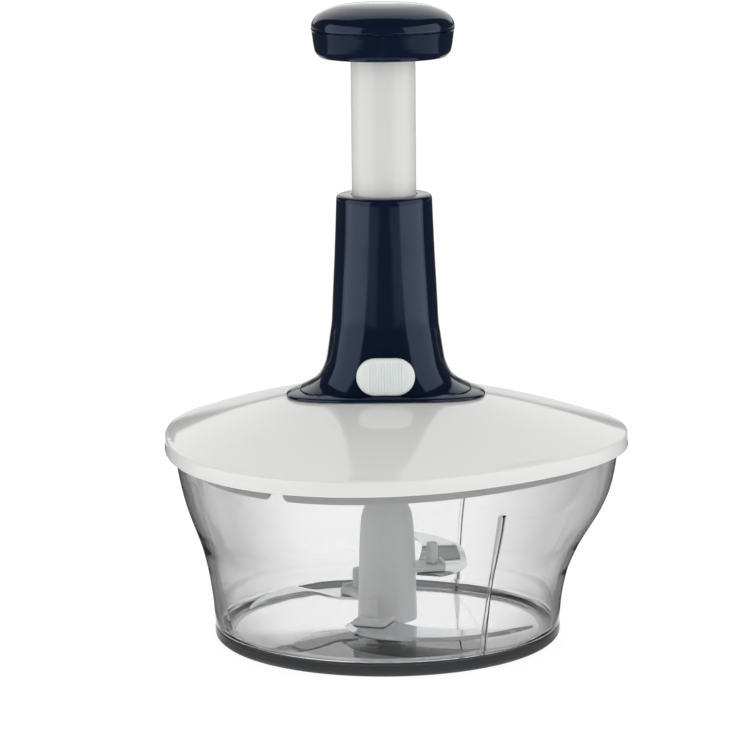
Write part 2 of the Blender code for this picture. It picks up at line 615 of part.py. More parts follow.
def make_plunger():
    flange_top = PLUNGER_BOTTOM + STOP_FLANGE_THICKNESS
    turned("plunger_tube", (
        (PLUNGER_RADIUS, PLUNGER_TOP), (PLUNGER_RADIUS, flange_top), (STOP_FLANGE_RADIUS, flange_top),
        (STOP_FLANGE_RADIUS, PLUNGER_BOTTOM), (PLUNGER_BORE, PLUNGER_BOTTOM), (PLUNGER_BORE, PLUNGER_TOP),
    ), WHITE)
    base_height = KNOB_PARTING - RUNNING_GAP - KNOB_UNDERSIDE
    outer = [(KNOB_RADIUS * r, KNOB_UNDERSIDE + base_height * h) for r, h in BASE_SHARES]
    socket = PLUNGER_RADIUS + RUNNING_GAP
    plug = PLUNGER_BORE - RUNNING_GAP
    floor = PLUNGER_TOP + RUNNING_GAP + KNOB_WALL
    rod_hole = ROD_SIDE / math.sqrt(2) + RUNNING_GAP
    inner_top = outer[0][0] - KNOB_WALL
    turned("knob_base", outer + [
        (socket, KNOB_UNDERSIDE), (socket, PLUNGER_TOP + RUNNING_GAP), (plug, PLUNGER_TOP + RUNNING_GAP),
        (plug, KNOB_UNDERSIDE - KNOB_WALL), (rod_hole, KNOB_UNDERSIDE - KNOB_WALL),
        (rod_hole, ROD_TOP + RUNNING_GAP),
        (SCREW_HOLE_RADIUS, ROD_TOP + RUNNING_GAP), (SCREW_HOLE_RADIUS, floor + KNOB_WALL),
        (rod_hole + KNOB_WALL, floor + KNOB_WALL), (rod_hole + KNOB_WALL, floor),
        (inner_top - KNOB_WALL * 2, floor),
        (inner_top, floor + KNOB_WALL), (inner_top, KNOB_PARTING - RUNNING_GAP),
    ], NAVY)
    cap_height = KNOB_TOP - KNOB_PARTING
    skin = [(0.0, KNOB_TOP)] + [(KNOB_RADIUS * r, KNOB_PARTING + cap_height * h) for r, h in CAP_SHARES]
    lining = [(skin[-1][0] - KNOB_WALL, KNOB_PARTING)]
    lining += [(r - KNOB_WALL, h - KNOB_WALL) for r, h in reversed(skin[2:-2])]
    turned("knob_cap", skin + lining + [(0.0, KNOB_TOP - KNOB_WALL)], NAVY, closed=False)
    make_rod()
    head_low = floor + KNOB_WALL + RUNNING_GAP
    turned("knob_screw", (
        (0.0, head_low + SCREW_HEAD),
        *[(SCREW_HEAD_RADIUS * r, head_low + SCREW_HEAD * h) for r, h in reversed(SCREW_CROWN_SHARES)],
        (SCREW_HEAD_RADIUS, head_low), (SCREW_RADIUS, head_low),
        (SCREW_RADIUS, head_low - SCREW_LENGTH), (0.0, head_low - SCREW_LENGTH),
    ), STEEL, FINE_SEGMENTS, closed=False)


def twist(height):
    """Turn of the rod's section at a height. The rod's corners climb clockwise, seen from above."""
    return -math.tau * (min(height, ROD_TWIST_END) - ROD_BOTTOM) / ROD_LEAD


def square_loop(half, height):
    turn = twist(height)
    points = []
    for k in range(4):
        x, y = polar(half * math.sqrt(2), turn + QUARTER_TURN / 2 + k * QUARTER_TURN)
        points.append(Vector((x, y, height)))
    return points


def twisted_bar(name, half, low, high, finish, collection=None):
    count = max(round((high - low) / ROD_SLICE), 1)
    loops = [square_loop(half, high + (low - high) * i / count) for i in range(count + 1)]
    return loft(name, loops, finish, collection=collection)


def make_rod():
    rod = twisted_bar("drive_rod", ROD_SIDE / 2, ROD_BOTTOM, ROD_TOP, STEEL)
    hole = cylinder("rod_tap", SCREW_HOLE_RADIUS, ROD_TOP - SCREW_LENGTH, ROD_TOP + OVERRUN,
                    segments=FINE_SEGMENTS)
    combine(rod, hole)


def dogs(name, low, high, turn):
    """A ring of separate drive teeth, as shapes to be joined on."""
    shapes = []
    width = math.pi / DOG_COUNT * DOG_WIDTH_SHARE
    for k in range(DOG_COUNT):
        middle = turn + math.tau * k / DOG_COUNT
        outline = [polar(DOG_INNER_RADIUS, middle - width / 2), polar(DOG_OUTER_RADIUS, middle - width / 2),
                   polar(DOG_OUTER_RADIUS, middle + width / 2), polar(DOG_INNER_RADIUS, middle + width / 2)]
        shapes.append(prism("%s_%d" % (name, k), outline, low, high, None, CUTTERS))
    return shapes


def make_drive():
    nut = turned("drive_nut", (
        (0.0, NUT_TOP), (NUT_RADIUS, NUT_TOP), (NUT_RADIUS, NUT_BOTTOM + NUT_FLANGE),
        (NUT_FLANGE_RADIUS, NUT_BOTTOM + NUT_FLANGE), (NUT_FLANGE_RADIUS, NUT_BOTTOM), (0.0, NUT_BOTTOM),
    ), GREY_PLASTIC, closed=False)
    sleeve = twisted_bar("nut_bore", ROD_SIDE / 2 + NUT_CLEARANCE, NUT_BOTTOM - OVERRUN, NUT_TOP + OVERRUN,
                         None, CUTTERS)
    for tooth in dogs("nut_dog", NUT_BOTTOM - DOG_HEIGHT, NUT_BOTTOM + NUT_FLANGE / 2, 0.0):
        combine(nut, tooth, "UNION")
    combine(nut, sleeve)
    flange_low = COVER_BOTTOM + COVER_THICKNESS + RUNNING_GAP
    flange_top = flange_low + COUPLING_FLANGE
    coupling = turned("drive_coupling", (
        (COUPLING_FLANGE_RADIUS, flange_top), (COUPLING_FLANGE_RADIUS, flange_low),
        (COUPLING_RADIUS, flange_low), (COUPLING_RADIUS, COUPLING_BOTTOM), (ROD_HOLE_RADIUS, COUPLING_BOTTOM),
        (ROD_HOLE_RADIUS, flange_top),
    ), GREY_PLASTIC)
    socket = hexagon("socket", NECK_ACROSS_FLATS + RUNNING_GAP * 2, COUPLING_BOTTOM - OVERRUN,
                     COUPLING_BOTTOM + SOCKET_DEPTH, None, CUTTERS)
    tooth_top = NUT_BOTTOM - DOG_HEIGHT / 2
    for tooth in dogs("coupling_dog", flange_top - COUPLING_FLANGE / 2, tooth_top, math.pi / DOG_COUNT):
        combine(coupling, tooth, "UNION")
    combine(coupling, socket)
    bore = HOUSING_RADIUS - HOUSING_WALL
    foot = COVER_BOTTOM + COVER_THICKNESS + RUNNING_GAP
    guide = NUT_RADIUS + RUNNING_GAP
    shelf = NUT_BOTTOM + NUT_FLANGE + RUNNING_GAP
    hole = ROD_SIDE / math.sqrt(2) + RUNNING_GAP * 4
    turned("drive_housing", (
        (HOUSING_RADIUS, HOUSING_TOP), (HOUSING_RADIUS, foot + HOUSING_FOOT),
        (HOUSING_FOOT_RADIUS, foot + HOUSING_FOOT), (HOUSING_FOOT_RADIUS, foot), (bore, foot), (bore, shelf),
        (guide, shelf),
        (guide, HOUSING_TOP - HOUSING_CAP), (hole, HOUSING_TOP - HOUSING_CAP), (hole, HOUSING_TOP),
    ), GREY_PLASTIC)
    make_spring()


def make_spring():
    """The return spring: closed end turns, and one unbroken wire between them."""
    low = HOUSING_TOP + RUNNING_GAP + SPRING_WIRE / 2
    high = KNOB_UNDERSIDE - KNOB_WALL - RUNNING_GAP - SPRING_WIRE / 2
    count = SPRING_TURNS * SPRING_POINTS_PER_TURN
    points = []
    for i in range(count + 1):
        turn = SPRING_TURNS * i / count
        share = closed_end_share(turn)
        x, y = polar(SPRING_RADIUS, math.tau * turn)
        points.append(Vector((x, y, low + share * (high - low))))
    curve = bpy.data.curves.new("return_spring", "CURVE")
    curve.dimensions = "3D"
    curve.bevel_depth = SPRING_WIRE / 2
    curve.bevel_resolution = 1
    curve.use_fill_caps = True
    spline = curve.splines.new("POLY")
    spline.points.add(count)
    for point, place in zip(spline.points, points):
        point.co = (*place, 1.0)
    spring = bpy.data.objects.new("return_spring", curve)
    curve.materials.append(STEEL)
    PARTS.objects.link(spring)
    near = SPRING_POINTS_PER_TURN // 2
    gap = min((points[i] - points[j]).length for i in range(count + 1) for j in range(i + near, count + 1))
    print("spring's least gap to itself: %.2f mm" % ((gap - SPRING_WIRE) / MM))


def closed_end_share(turn):
    """Height share along the spring. The end turns climb only enough to lie clear of each other."""
    end_rise = (SPRING_WIRE + RUNNING_GAP * 2) / (KNOB_UNDERSIDE - HOUSING_TOP)
    body_rise = (1 - 2 * end_rise) / (SPRING_TURNS - 2)
    if turn < 1:
        return end_rise * turn
    if turn > SPRING_TURNS - 1:
        return 1 - end_rise * (SPRING_TURNS - turn)
    return end_rise + body_rise * (turn - 1)


def hexagon(name, across_flats, low, high, finish, collection=None):
    outline = circle(across_flats / math.sqrt(3), 6)
    return prism(name, outline, low, high, finish, collection)


def make_hub():
    skin = [(HUB_TOP_RADIUS + r * (HUB_FOOT_RADIUS - HUB_TOP_RADIUS), HUB_TOP - h * (HUB_TOP - HUB_BOTTOM))
            for h, r in HUB_SHARES]
    hub = turned("blade_hub", [(0.0, HUB_TOP)] + skin + [(0.0, HUB_BOTTOM)], GREY_PLASTIC, closed=False)
    neck = hexagon("neck_shape", NECK_ACROSS_FLATS, HUB_TOP - OVERRUN, HUB_NECK_TOP, None, CUTTERS)
    combine(hub, neck, "UNION")
    for name, azimuth, low, rise, sweep, tip in BLADES:
        combine(hub, make_arm(name, azimuth, low + BLADE_THICKNESS + RUNNING_GAP), "UNION")
        place = polar(PEG_CIRCLE, azimuth)
        hole = cylinder("peg_hole_" + name, PEG_SHANK_RADIUS + RUNNING_GAP, low, low + ARM_LENGTH,
                        place=place)
        combine(hub, hole)
    rod_way = cylinder("rod_way", HUB_BORE, HUB_WEB_TOP, HUB_NECK_TOP + OVERRUN)
    combine(hub, rod_way)
    pin_way = cylinder("pin_way", PIN_RADIUS + BUSH_WALL + RUNNING_GAP, HUB_BOTTOM - OVERRUN, HUB_WEB_BOTTOM)
    combine(hub, pin_way)
    bush_inner = PIN_RADIUS + RUNNING_GAP
    turned("hub_bush", (
        (bush_inner + BUSH_WALL - RUNNING_GAP, HUB_WEB_BOTTOM - RUNNING_GAP),
        (bush_inner + BUSH_WALL - RUNNING_GAP, HUB_BOTTOM), (bush_inner, HUB_BOTTOM),
        (bush_inner, HUB_WEB_BOTTOM - RUNNING_GAP),
    ), BRASS, SMALL_SEGMENTS)


def make_arm(name, azimuth, low):
    """A flat arm with a raised lip at its end, reaching out from inside the hub."""
    half = ARM_WIDTH / 2
    half_end = half - ARM_LIP * 1.5
    start = HUB_FOOT_RADIUS - ARM_LIP * 2
    outline = [(start, -half), (ARM_LENGTH - ARM_LIP, -half), (ARM_LENGTH, -half_end),
               (ARM_LENGTH, half_end), (ARM_LENGTH - ARM_LIP, half), (start, half)]
    arm = prism("arm_" + name, outline, low, low + ARM_THICKNESS, None, CUTTERS)
    lip = box("arm_lip_" + name, (ARM_LENGTH - ARM_LIP, -half_end, low + ARM_THICKNESS / 2),
              (ARM_LENGTH, half_end, low + ARM_THICKNESS + ARM_LIP), collection=CUTTERS)
    combine(arm, lip, "UNION")
    arm.rotation_euler.z = azimuth
    lip.rotation_euler.z = azimuth
    return arm


def make_blade(name, azimuth, low, rise, sweep, tip):
    """A sickle in cross-sections from heel to tip. A bend just past its arm lifts the rest by its rise."""
    sections = []
    for i in range(BLADE_STATIONS + 1):
        turn = BLADE_HEEL_TURN + (sweep - BLADE_HEEL_TURN) * i / BLADE_STATIONS
        heel = 1 - i / BLADE_STATIONS
        outer = tip - (tip - BLADE_HEEL_RADIUS) * heel ** BLADE_OUTER_POWER
        inner = tip - BLADE_POINT - (tip - HUB_FOOT_RADIUS) * (sweep - turn) / BLADE_INNER_SWEEP
        inner = max(inner, HUB_FOOT_RADIUS + RUNNING_GAP * 2)
        grind = min(BLADE_GRIND, (outer - inner) * BLADE_GRIND_SHARE)
        strips = [k / BLADE_STRIPS for k in range(BLADE_STRIPS + 1)]
        corners = [(inner + share * (outer - inner), 0.0) for share in strips]
        corners.append((outer, BLADE_EDGE))
        corners += [(inner + share * (outer - grind - inner), BLADE_THICKNESS) for share in reversed(strips)]
        section = []
        for radius, up in corners:
            past_arm = radius * math.sin(turn) - ARM_WIDTH / 2 - BLADE_RAMP_CLEARANCE
            ramp = min(max(past_arm / BLADE_RAMP_LENGTH, 0.0), 1.0)
            section.append(Vector((*polar(radius, azimuth + turn), low + ramp * rise + up)))
        sections.append(section)
    blade = loft(name + "_blade", sections, STEEL)
    place = polar(PEG_CIRCLE, azimuth)
    hole = cylinder("blade_hole_" + name, PEG_SHANK_RADIUS + RUNNING_GAP, low - OVERRUN, low + OVERRUN,
                    place=place)
    combine(blade, hole)
    peg_foot = low + BLADE_THICKNESS + ARM_THICKNESS + RUNNING_GAP * 2
    peg_top = low + BLADE_THICKNESS + ARM_THICKNESS + RUNNING_GAP + PEG_HEIGHT
    peg = turned(name + "_peg", (
        (0.0, peg_top),
        *[(PEG_RADIUS * r, peg_top - PEG_RADIUS * h) for r, h in PEG_END_SHARES],
        (PEG_RADIUS, peg_foot), (PEG_SHANK_RADIUS, peg_foot), (PEG_SHANK_RADIUS, low - RUNNING_GAP),
        (PEG_RADIUS, low - RUNNING_GAP), (PEG_RADIUS, low - RUNNING_GAP - PEG_RIVET),
        (0.0, low - RUNNING_GAP - PEG_RIVET),
    ), GREY_PLASTIC, SMALL_SEGMENTS, closed=False)
    peg.location = (*place, 0.0)


def make_lock():
    middle = LOCK_CENTRE_HEIGHT
    radius = LOCK_HEIGHT / 2
    straight = LOCK_WIDTH / 2 - radius
    outline = []
    for side, start in ((1, -90), (-1, 90)):
        for i in range(LOCK_END_STEPS + 1):
            angle = math.radians(start) + math.pi * i / LOCK_END_STEPS
            outline.append((side * straight + radius * math.cos(angle), middle + radius * math.sin(angle)))

    def drawn_in(value, centre, by):
        return value - math.copysign(min(abs(value - centre), by), value - centre)

    def face(depth, by):
        return [Vector((drawn_in(x, 0.0, by), -depth, drawn_in(z, middle, by))) for x, z in outline]

    crown = LOCK_CROWN
    button = loft("lock_button", [
        face(LOCK_FACE + LOCK_PLATE, crown), face(LOCK_FACE + LOCK_PLATE - crown, 0.0), face(LOCK_FACE, 0.0),
    ], OFF_WHITE)
    for k in range(LOCK_RIB_COUNT):
        x = (k - (LOCK_RIB_COUNT - 1) / 2) * LOCK_RIB_PITCH
        half_height = radius - crown * 2
        rib_front = -LOCK_FACE - LOCK_PLATE - LOCK_RIB
        rib = box("lock_rib_%d" % k, (x - LOCK_RIB / 2, rib_front, middle - half_height),
                  (x + LOCK_RIB / 2, -LOCK_FACE - LOCK_PLATE / 2, middle + half_height), collection=CUTTERS)
        combine(button, rib, "UNION")
    stem_back = LOCK_FACE - TOWER_WALL - RUNNING_GAP * 4
    stem_front = -LOCK_FACE - LOCK_PLATE / 2
    stem = box("lock_stem", (-LOCK_STEM_WIDTH / 2, stem_front, middle - LOCK_STEM_HEIGHT / 2),
               (LOCK_STEM_WIDTH / 2, -stem_back, middle + LOCK_STEM_HEIGHT / 2), collection=CUTTERS)
    combine(button, stem, "UNION")
    flange_down = HOUSING_TOP + PLUNGER_CLEAR_OF_HOUSING + STOP_FLANGE_THICKNESS
    catch_low = flange_down + RUNNING_GAP * 2
    back = stem_back - RUNNING_GAP
    catch = box("lock_catch", (-CATCH_LEFT, -back, catch_low),
                (CATCH_RIGHT, -CATCH_REACH, catch_low + CATCH_THICKNESS), GREY_PLASTIC)
    upright = box("catch_upright", (-LOCK_STEM_WIDTH / 2, -back, catch_low + CATCH_THICKNESS / 2),
                  (CATCH_UPRIGHT_RIGHT, -back + CATCH_THICKNESS, middle + LOCK_STEM_HEIGHT / 2),
                  collection=CUTTERS)
    combine(catch, upright, "UNION")
    scallop = cylinder("catch_scallop", STOP_FLANGE_RADIUS + RUNNING_GAP * 3, catch_low - OVERRUN,
                       middle + LOCK_HEIGHT, segments=ROUND_SEGMENTS)
    combine(catch, scallop)


clear_scene()
PARTS = new_collection("plunger_food_chopper")
CUTTERS = new_collection("cutters")

WHITE = material("white ABS", "#e6e5e2", 0.25)
OFF_WHITE = material("off-white ABS", "#dfe4e3", 0.4)
NAVY = material("navy gloss ABS", "#111a2e", 0.18)
GREY_PLASTIC = material("grey nylon", "#8d8f91", 0.45)
SMOKED = material("smoked SAN", "#a9adb0", 0.08, alpha=0.35)
ELASTOMER = material("dark thermoplastic elastomer", "#2b2d30", 0.6)
STEEL = material("polished stainless steel", "#c4c6c8", 0.25, metallic=1.0)
BRASS = material("sintered bronze", "#9a7a4a", 0.4, metallic=1.0)

make_bowl()
make_foot_and_pin()
make_lid()
make_cover()
make_cover_screws()
make_tower()
make_plunger()
make_drive()
make_hub()
for blade in BLADES:
    make_blade(*blade)
make_lock()
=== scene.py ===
import math

import bmesh
import bpy
from mathutils import Matrix, Vector


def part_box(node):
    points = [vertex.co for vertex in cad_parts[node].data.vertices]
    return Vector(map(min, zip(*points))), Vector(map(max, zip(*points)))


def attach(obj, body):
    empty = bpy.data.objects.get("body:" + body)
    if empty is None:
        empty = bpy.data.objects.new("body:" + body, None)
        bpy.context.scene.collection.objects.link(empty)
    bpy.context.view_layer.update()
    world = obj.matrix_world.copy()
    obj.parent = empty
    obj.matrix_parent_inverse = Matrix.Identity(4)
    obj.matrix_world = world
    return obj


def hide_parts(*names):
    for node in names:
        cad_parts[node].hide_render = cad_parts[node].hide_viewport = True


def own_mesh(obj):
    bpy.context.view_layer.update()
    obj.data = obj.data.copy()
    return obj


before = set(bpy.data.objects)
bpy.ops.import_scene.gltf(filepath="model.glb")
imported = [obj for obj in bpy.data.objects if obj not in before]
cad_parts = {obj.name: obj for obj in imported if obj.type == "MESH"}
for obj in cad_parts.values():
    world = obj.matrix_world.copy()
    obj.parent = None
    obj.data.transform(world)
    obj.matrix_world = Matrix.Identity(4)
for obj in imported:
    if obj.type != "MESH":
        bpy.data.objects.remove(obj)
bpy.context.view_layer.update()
mm = 0.001


# Studio: a white paper sweep under the chopper, with painted light and shade that only rays through the bowl and
# mirrored rays see, wide softboxes left, right and behind it, a lamp above and a fill in front. The side boxes draw
# the paired bright bands on the navy tower and leave its middle dark.
def linear(colour):
    parts = [int(colour[i : i + 2], 16) / 255 for i in (1, 3, 5)]
    return (*[c / 12.92 if c <= 0.04045 else ((c + 0.055) / 1.055) ** 2.4 for c in parts], 1.0)


def node(tree, kind, settings):
    """Adds a node. A setting names one of its properties, or an input, which takes a value or a link."""
    made = tree.nodes.new(kind)
    for key, value in settings.items():
        if isinstance(key, str) and hasattr(made, key):
            setattr(made, key, value)
        elif isinstance(value, bpy.types.NodeSocket):
            tree.links.new(value, made.inputs[key])
        else:
            made.inputs[key].default_value = value
    return made


def blank_material(name):
    made = bpy.data.materials.new(name)
    made.use_nodes = True
    made.node_tree.nodes.clear()
    return made, made.node_tree


# The paper is plain white to the camera. To rays that go through the bowl and to mirrored rays it shows painted light
# and shade instead. Through the bowl it is painted darker away from the middle, a painted shade that draws the smoky
# sides. To mirrored rays it is painted dark but for a painted reflection that the lid's far edge sees.
painted_sweep_paper, tree = blank_material("white sweep paper with painted light and shade")
path = node(tree, "ShaderNodeLightPath", {})
where = node(tree, "ShaderNodeTexCoord", {})
parts = node(tree, "ShaderNodeSeparateXYZ", {0: where.outputs["Object"]})
aside = node(tree, "ShaderNodeMath", {"operation": "ABSOLUTE", 0: parts.outputs[0]})
away = node(tree, "ShaderNodeMath", {"operation": "ADD", 0: parts.outputs[1], 1: 1.5})
slant = node(tree, "ShaderNodeMath", {"operation": "DIVIDE", 0: aside.outputs[0], 1: away.outputs[0]})
# Painted shade: seen through the bowl, the paper is darker towards the sides.
middle = node(tree, "ShaderNodeMapRange", {
    "Value": slant.outputs[0], "From Min": 0.028, "From Max": 0.076, "To Min": 1.2, "To Max": 0.54})
# Painted shade: to rays through the bowl the paper is dark in front of the bowl, and to mirrored rays it is dark up to
# about 3.6 m behind.
start = node(tree, "ShaderNodeMix", {
    "data_type": "FLOAT", 0: path.outputs["Is Transmission Ray"], 2: -3.6, 3: 0.0})
beyond = node(tree, "ShaderNodeMath", {"operation": "ADD", 0: parts.outputs[1], 1: start.outputs[0]})
opened = node(tree, "ShaderNodeMapRange", {
    "Value": beyond.outputs[0], "From Min": -0.05, "From Max": 0.08, "To Min": 0.07, "To Max": 1.0})
lit = node(tree, "ShaderNodeMath", {"operation": "MULTIPLY", 0: middle.outputs[0], 1: opened.outputs[0]})
# Painted reflection: a bright patch on the paper behind the bowl, near the middle, which the lid's far edge mirrors.
painted_lid_reflection = node(tree, "ShaderNodeMath", {"operation": "GREATER_THAN", 0: parts.outputs[1], 1: 0.44})
near_line = node(tree, "ShaderNodeMapRange", {
    "Value": slant.outputs[0], "From Min": 0.11, "From Max": 0.15, "To Min": 0.8, "To Max": 0.0})
painted_lid_reflection = node(tree, "ShaderNodeMath", {"operation": "MULTIPLY", 0: painted_lid_reflection.outputs[0], 1: near_line.outputs[0]})
lit = node(tree, "ShaderNodeMath", {"operation": "MAXIMUM", 0: lit.outputs[0], 1: painted_lid_reflection.outputs[0]})
# Painted light and shadow under the bowl, for rays through it: the paper is bright under the bowl's floor, and darker
# round the foot ring's front as a painted contact shadow.
span = node(tree, "ShaderNodeVectorMath", {"operation": "LENGTH", 0: where.outputs["Object"]})
painted_ring_shade = node(tree, "ShaderNodeMapRange", {
    "Value": parts.outputs[1], "From Min": -0.02, "From Max": 0.03, "To Min": 0.2, "To Max": 1.15})
under = node(tree, "ShaderNodeMapRange", {
    "Value": span.outputs["Value"], "From Min": 0.047, "From Max": 0.067, "To Min": 1.15,
    "To Max": painted_ring_shade.outputs[0]})
by_foot = node(tree, "ShaderNodeMapRange", {
    "Value": span.outputs["Value"], "From Min": 0.096, "From Max": 0.088, "To Min": 0.0,
    "To Max": under.outputs[0]})
brightest = node(tree, "ShaderNodeMath", {"operation": "MAXIMUM", 0: lit.outputs[0], 1: by_foot.outputs[0]})
# Painted pools of light: the paper glows to either side and in front, under the side softboxes.
out_wide = node(tree, "ShaderNodeMapRange", {
    "Value": aside.outputs[0], "From Min": 0.4, "From Max": 0.6, "To Min": 0.0, "To Max": 0.6})
before = node(tree, "ShaderNodeMath", {"operation": "LESS_THAN", 0: parts.outputs[1], 1: 0.25})
painted_lamp_pools = node(tree, "ShaderNodeMath", {"operation": "MULTIPLY", 0: out_wide.outputs[0], 1: before.outputs[0]})
brightest = node(tree, "ShaderNodeMath", {"operation": "MAXIMUM", 0: brightest.outputs[0], 1: painted_lamp_pools.outputs[0]})
# The painted light and shade above become a glow that only rays through the bowl and mirrored rays see. After a bounce
# off a matt face the paper is bright all over.
scattered = node(tree, "ShaderNodeMath", {"operation": "MINIMUM", 0: path.outputs["Diffuse Depth"], 1: 1.0})
brightest = node(tree, "ShaderNodeMath", {"operation": "MAXIMUM", 0: brightest.outputs[0], 1: scattered.outputs[0]})
mirrored = node(tree, "ShaderNodeEmission", {"Color": linear("#ffffff"), "Strength": brightest.outputs[0]})
matt = node(tree, "ShaderNodeBsdfDiffuse", {"Color": linear("#f4f4f4")})
far_off = node(tree, "ShaderNodeMapRange", {
    "Value": parts.outputs[1], "From Min": 1.2, "From Max": 2.5, "To Min": 1.08, "To Max": 1.17})
white = node(tree, "ShaderNodeEmission", {"Color": linear("#ffffff"), "Strength": far_off.outputs[0]})
seen = node(tree, "ShaderNodeMixShader", {0: 0.86, 1: matt.outputs[0], 2: white.outputs[0]})
glossy = node(tree, "ShaderNodeMath", {
    "operation": "MAXIMUM", 0: path.outputs["Is Glossy Ray"], 1: path.outputs["Is Transmission Ray"]})
both = node(tree, "ShaderNodeMixShader", {0: glossy.outputs[0], 1: seen.outputs[0], 2: mirrored.outputs[0]})
node(tree, "ShaderNodeOutputMaterial", {"Surface": both.outputs[0]})

sweep_mesh = bpy.data.meshes.new("sweep")
reach = 9.0
corners = [(-reach, -3, 0), (reach, -3, 0), (reach, reach, 0), (-reach, reach, 0)]
sweep_mesh.from_pydata(corners, [], [(0, 1, 2, 3)])
sweep_mesh.materials.append(painted_sweep_paper)
sweep = bpy.data.objects.new("sweep", sweep_mesh)
bpy.context.scene.collection.objects.link(sweep)


def softbox(name, place, aim, width, height, radiance, mirrored=True):
    lamp = bpy.data.lights.new(name, "AREA")
    lamp.shape = "RECTANGLE"
    lamp.size = width
    lamp.size_y = height
    lamp.energy = radiance * math.pi * width * height
    stand = bpy.data.objects.new(name, lamp)
    facing = (Vector(aim) - Vector(place)).to_track_quat("-Z", "Y").to_matrix().to_4x4()
    stand.matrix_world = Matrix.Translation(place) @ facing
    stand.visible_transmission = False
    stand.visible_glossy = mirrored
    bpy.context.scene.collection.objects.link(stand)


softbox("left softbox", (-1.41, -0.52, 0.45), (0, 0, 0.15), 2.1, 1.5, 1.25)
softbox("right softbox", (1.41, -0.52, 0.45), (0, 0, 0.15), 2.1, 1.5, 1.25)
softbox("back softbox", (0, 1.1, 1.27), (0, 0, 0.25), 2.2, 2.3, 1.0)
softbox("overhead softbox", (0, 0.0, 1.7), (0, 0, 0.1), 1.4, 1.2, 0.4, mirrored=False)
softbox("front fill", (0, -1.8, 0.6), (0, 0, 0.1), 1.6, 0.8, 1.1, mirrored=False)

# The room: white to the camera, bright behind the bowl, a soft fill for matt faces and dark for reflections.
world = bpy.data.worlds.new("studio")
world.use_nodes = True
world.node_tree.nodes.clear()
tree = world.node_tree
path = node(tree, "ShaderNodeLightPath", {})
where = node(tree, "ShaderNodeTexCoord", {})
parts = node(tree, "ShaderNodeSeparateXYZ", {0: where.outputs["Generated"]})
behind = node(tree, "ShaderNodeMath", {
    "operation": "MULTIPLY_ADD", 0: path.outputs["Is Transmission Ray"], 1: 1.09, 2: 0.06})
sides = node(tree, "ShaderNodeMath", {
    "operation": "MULTIPLY_ADD", 0: path.outputs["Is Transmission Ray"], 1: 0.35, 2: 0.03})
backdrop = node(tree, "ShaderNodeMapRange", {
    "Value": parts.outputs[1], "From Min": 0.52, "From Max": 0.72,
    "To Min": sides.outputs[0], "To Max": behind.outputs[0]})
scattered = node(tree, "ShaderNodeMath", {"operation": "MINIMUM", 0: path.outputs["Diffuse Depth"], 1: 1.0})
through = node(tree, "ShaderNodeMath", {
    "operation": "MULTIPLY_ADD", 0: path.outputs["Is Transmission Ray"], 1: 0.6, 2: 0.34})
room = node(tree, "ShaderNodeMath", {"operation": "MULTIPLY", 0: scattered.outputs[0], 1: through.outputs[0]})
fill = node(tree, "ShaderNodeMath", {"operation": "MAXIMUM", 0: backdrop.outputs[0], 1: room.outputs[0]})
sideways = node(tree, "ShaderNodeMath", {"operation": "ABSOLUTE", 0: parts.outputs[0]})
low = node(tree, "ShaderNodeMapRange", {
    "Value": parts.outputs[2], "From Min": 0.1, "From Max": 0.16, "To Min": 0.8, "To Max": 0.0})
ahead = node(tree, "ShaderNodeMapRange", {
    "Value": sideways.outputs[0], "From Min": 0.12, "From Max": 0.16, "To Min": low.outputs[0], "To Max": 0.0})
onward = node(tree, "ShaderNodeMath", {"operation": "GREATER_THAN", 0: parts.outputs[1], 1: 0.0})
horizon = node(tree, "ShaderNodeMath", {"operation": "MULTIPLY", 0: ahead.outputs[0], 1: onward.outputs[0]})
fill = node(tree, "ShaderNodeMath", {"operation": "MAXIMUM", 0: fill.outputs[0], 1: horizon.outputs[0]})
strength = node(tree, "ShaderNodeMix", {
    "data_type": "FLOAT", 0: path.outputs["Is Camera Ray"], 2: fill.outputs[0], 3: 1.0})
sky = node(tree, "ShaderNodeBackground", {"Color": linear("#ffffff"), "Strength": strength.outputs[0]})
node(tree, "ShaderNodeOutputWorld", {"Surface": sky.outputs[0]})
bpy.context.scene.world = world
bpy.context.scene.view_settings.view_transform = "Standard"

lens = bpy.data.cameras.new("camera")
lens.sensor_width = 36
lens.lens = 166.68
camera = bpy.data.objects.new("camera", lens)
turn = Matrix.Rotation(math.radians(0.30), 4, "Z") @ Matrix.Rotation(math.radians(90 - 10.34), 4, "X")
camera.matrix_world = Matrix.Translation((0, -1.5, 0.3956)) @ turn @ Matrix.Rotation(math.radians(-0.53), 4, "Z")
bpy.context.scene.collection.objects.link(camera)
bpy.context.scene.camera = camera


# Bowl: injection-moulded SAN, tinted a light smoke grey and polished. Its round base opens into three
# broad lobes at the rim. Three slim beads run up the wall inside, and a boss in the floor holds the pin.
base_radius = 78.0 * mm
rim_radius = 99.8 * mm
bowl_height = 88.5 * mm
wall_bottom = 6.8 * mm
bowl_wall = 2.5 * mm
floor_top = 3.8 * mm
lobe_depth = 4.9 * mm
lobe_azimuth = math.radians(7.5)
wall_rows = (
    (0.0, 0.0, 0.0), (0.13, 0.03, 0.0), (0.28, 0.13, 0.08), (0.36, 0.22, 0.21), (0.45, 0.35, 0.39),
    (0.53, 0.50, 0.59), (0.61, 0.655, 0.79), (0.69, 0.78, 0.92), (0.77, 0.87, 0.99), (0.88, 0.95, 1.0),
    (1.0, 1.0, 1.0),
)


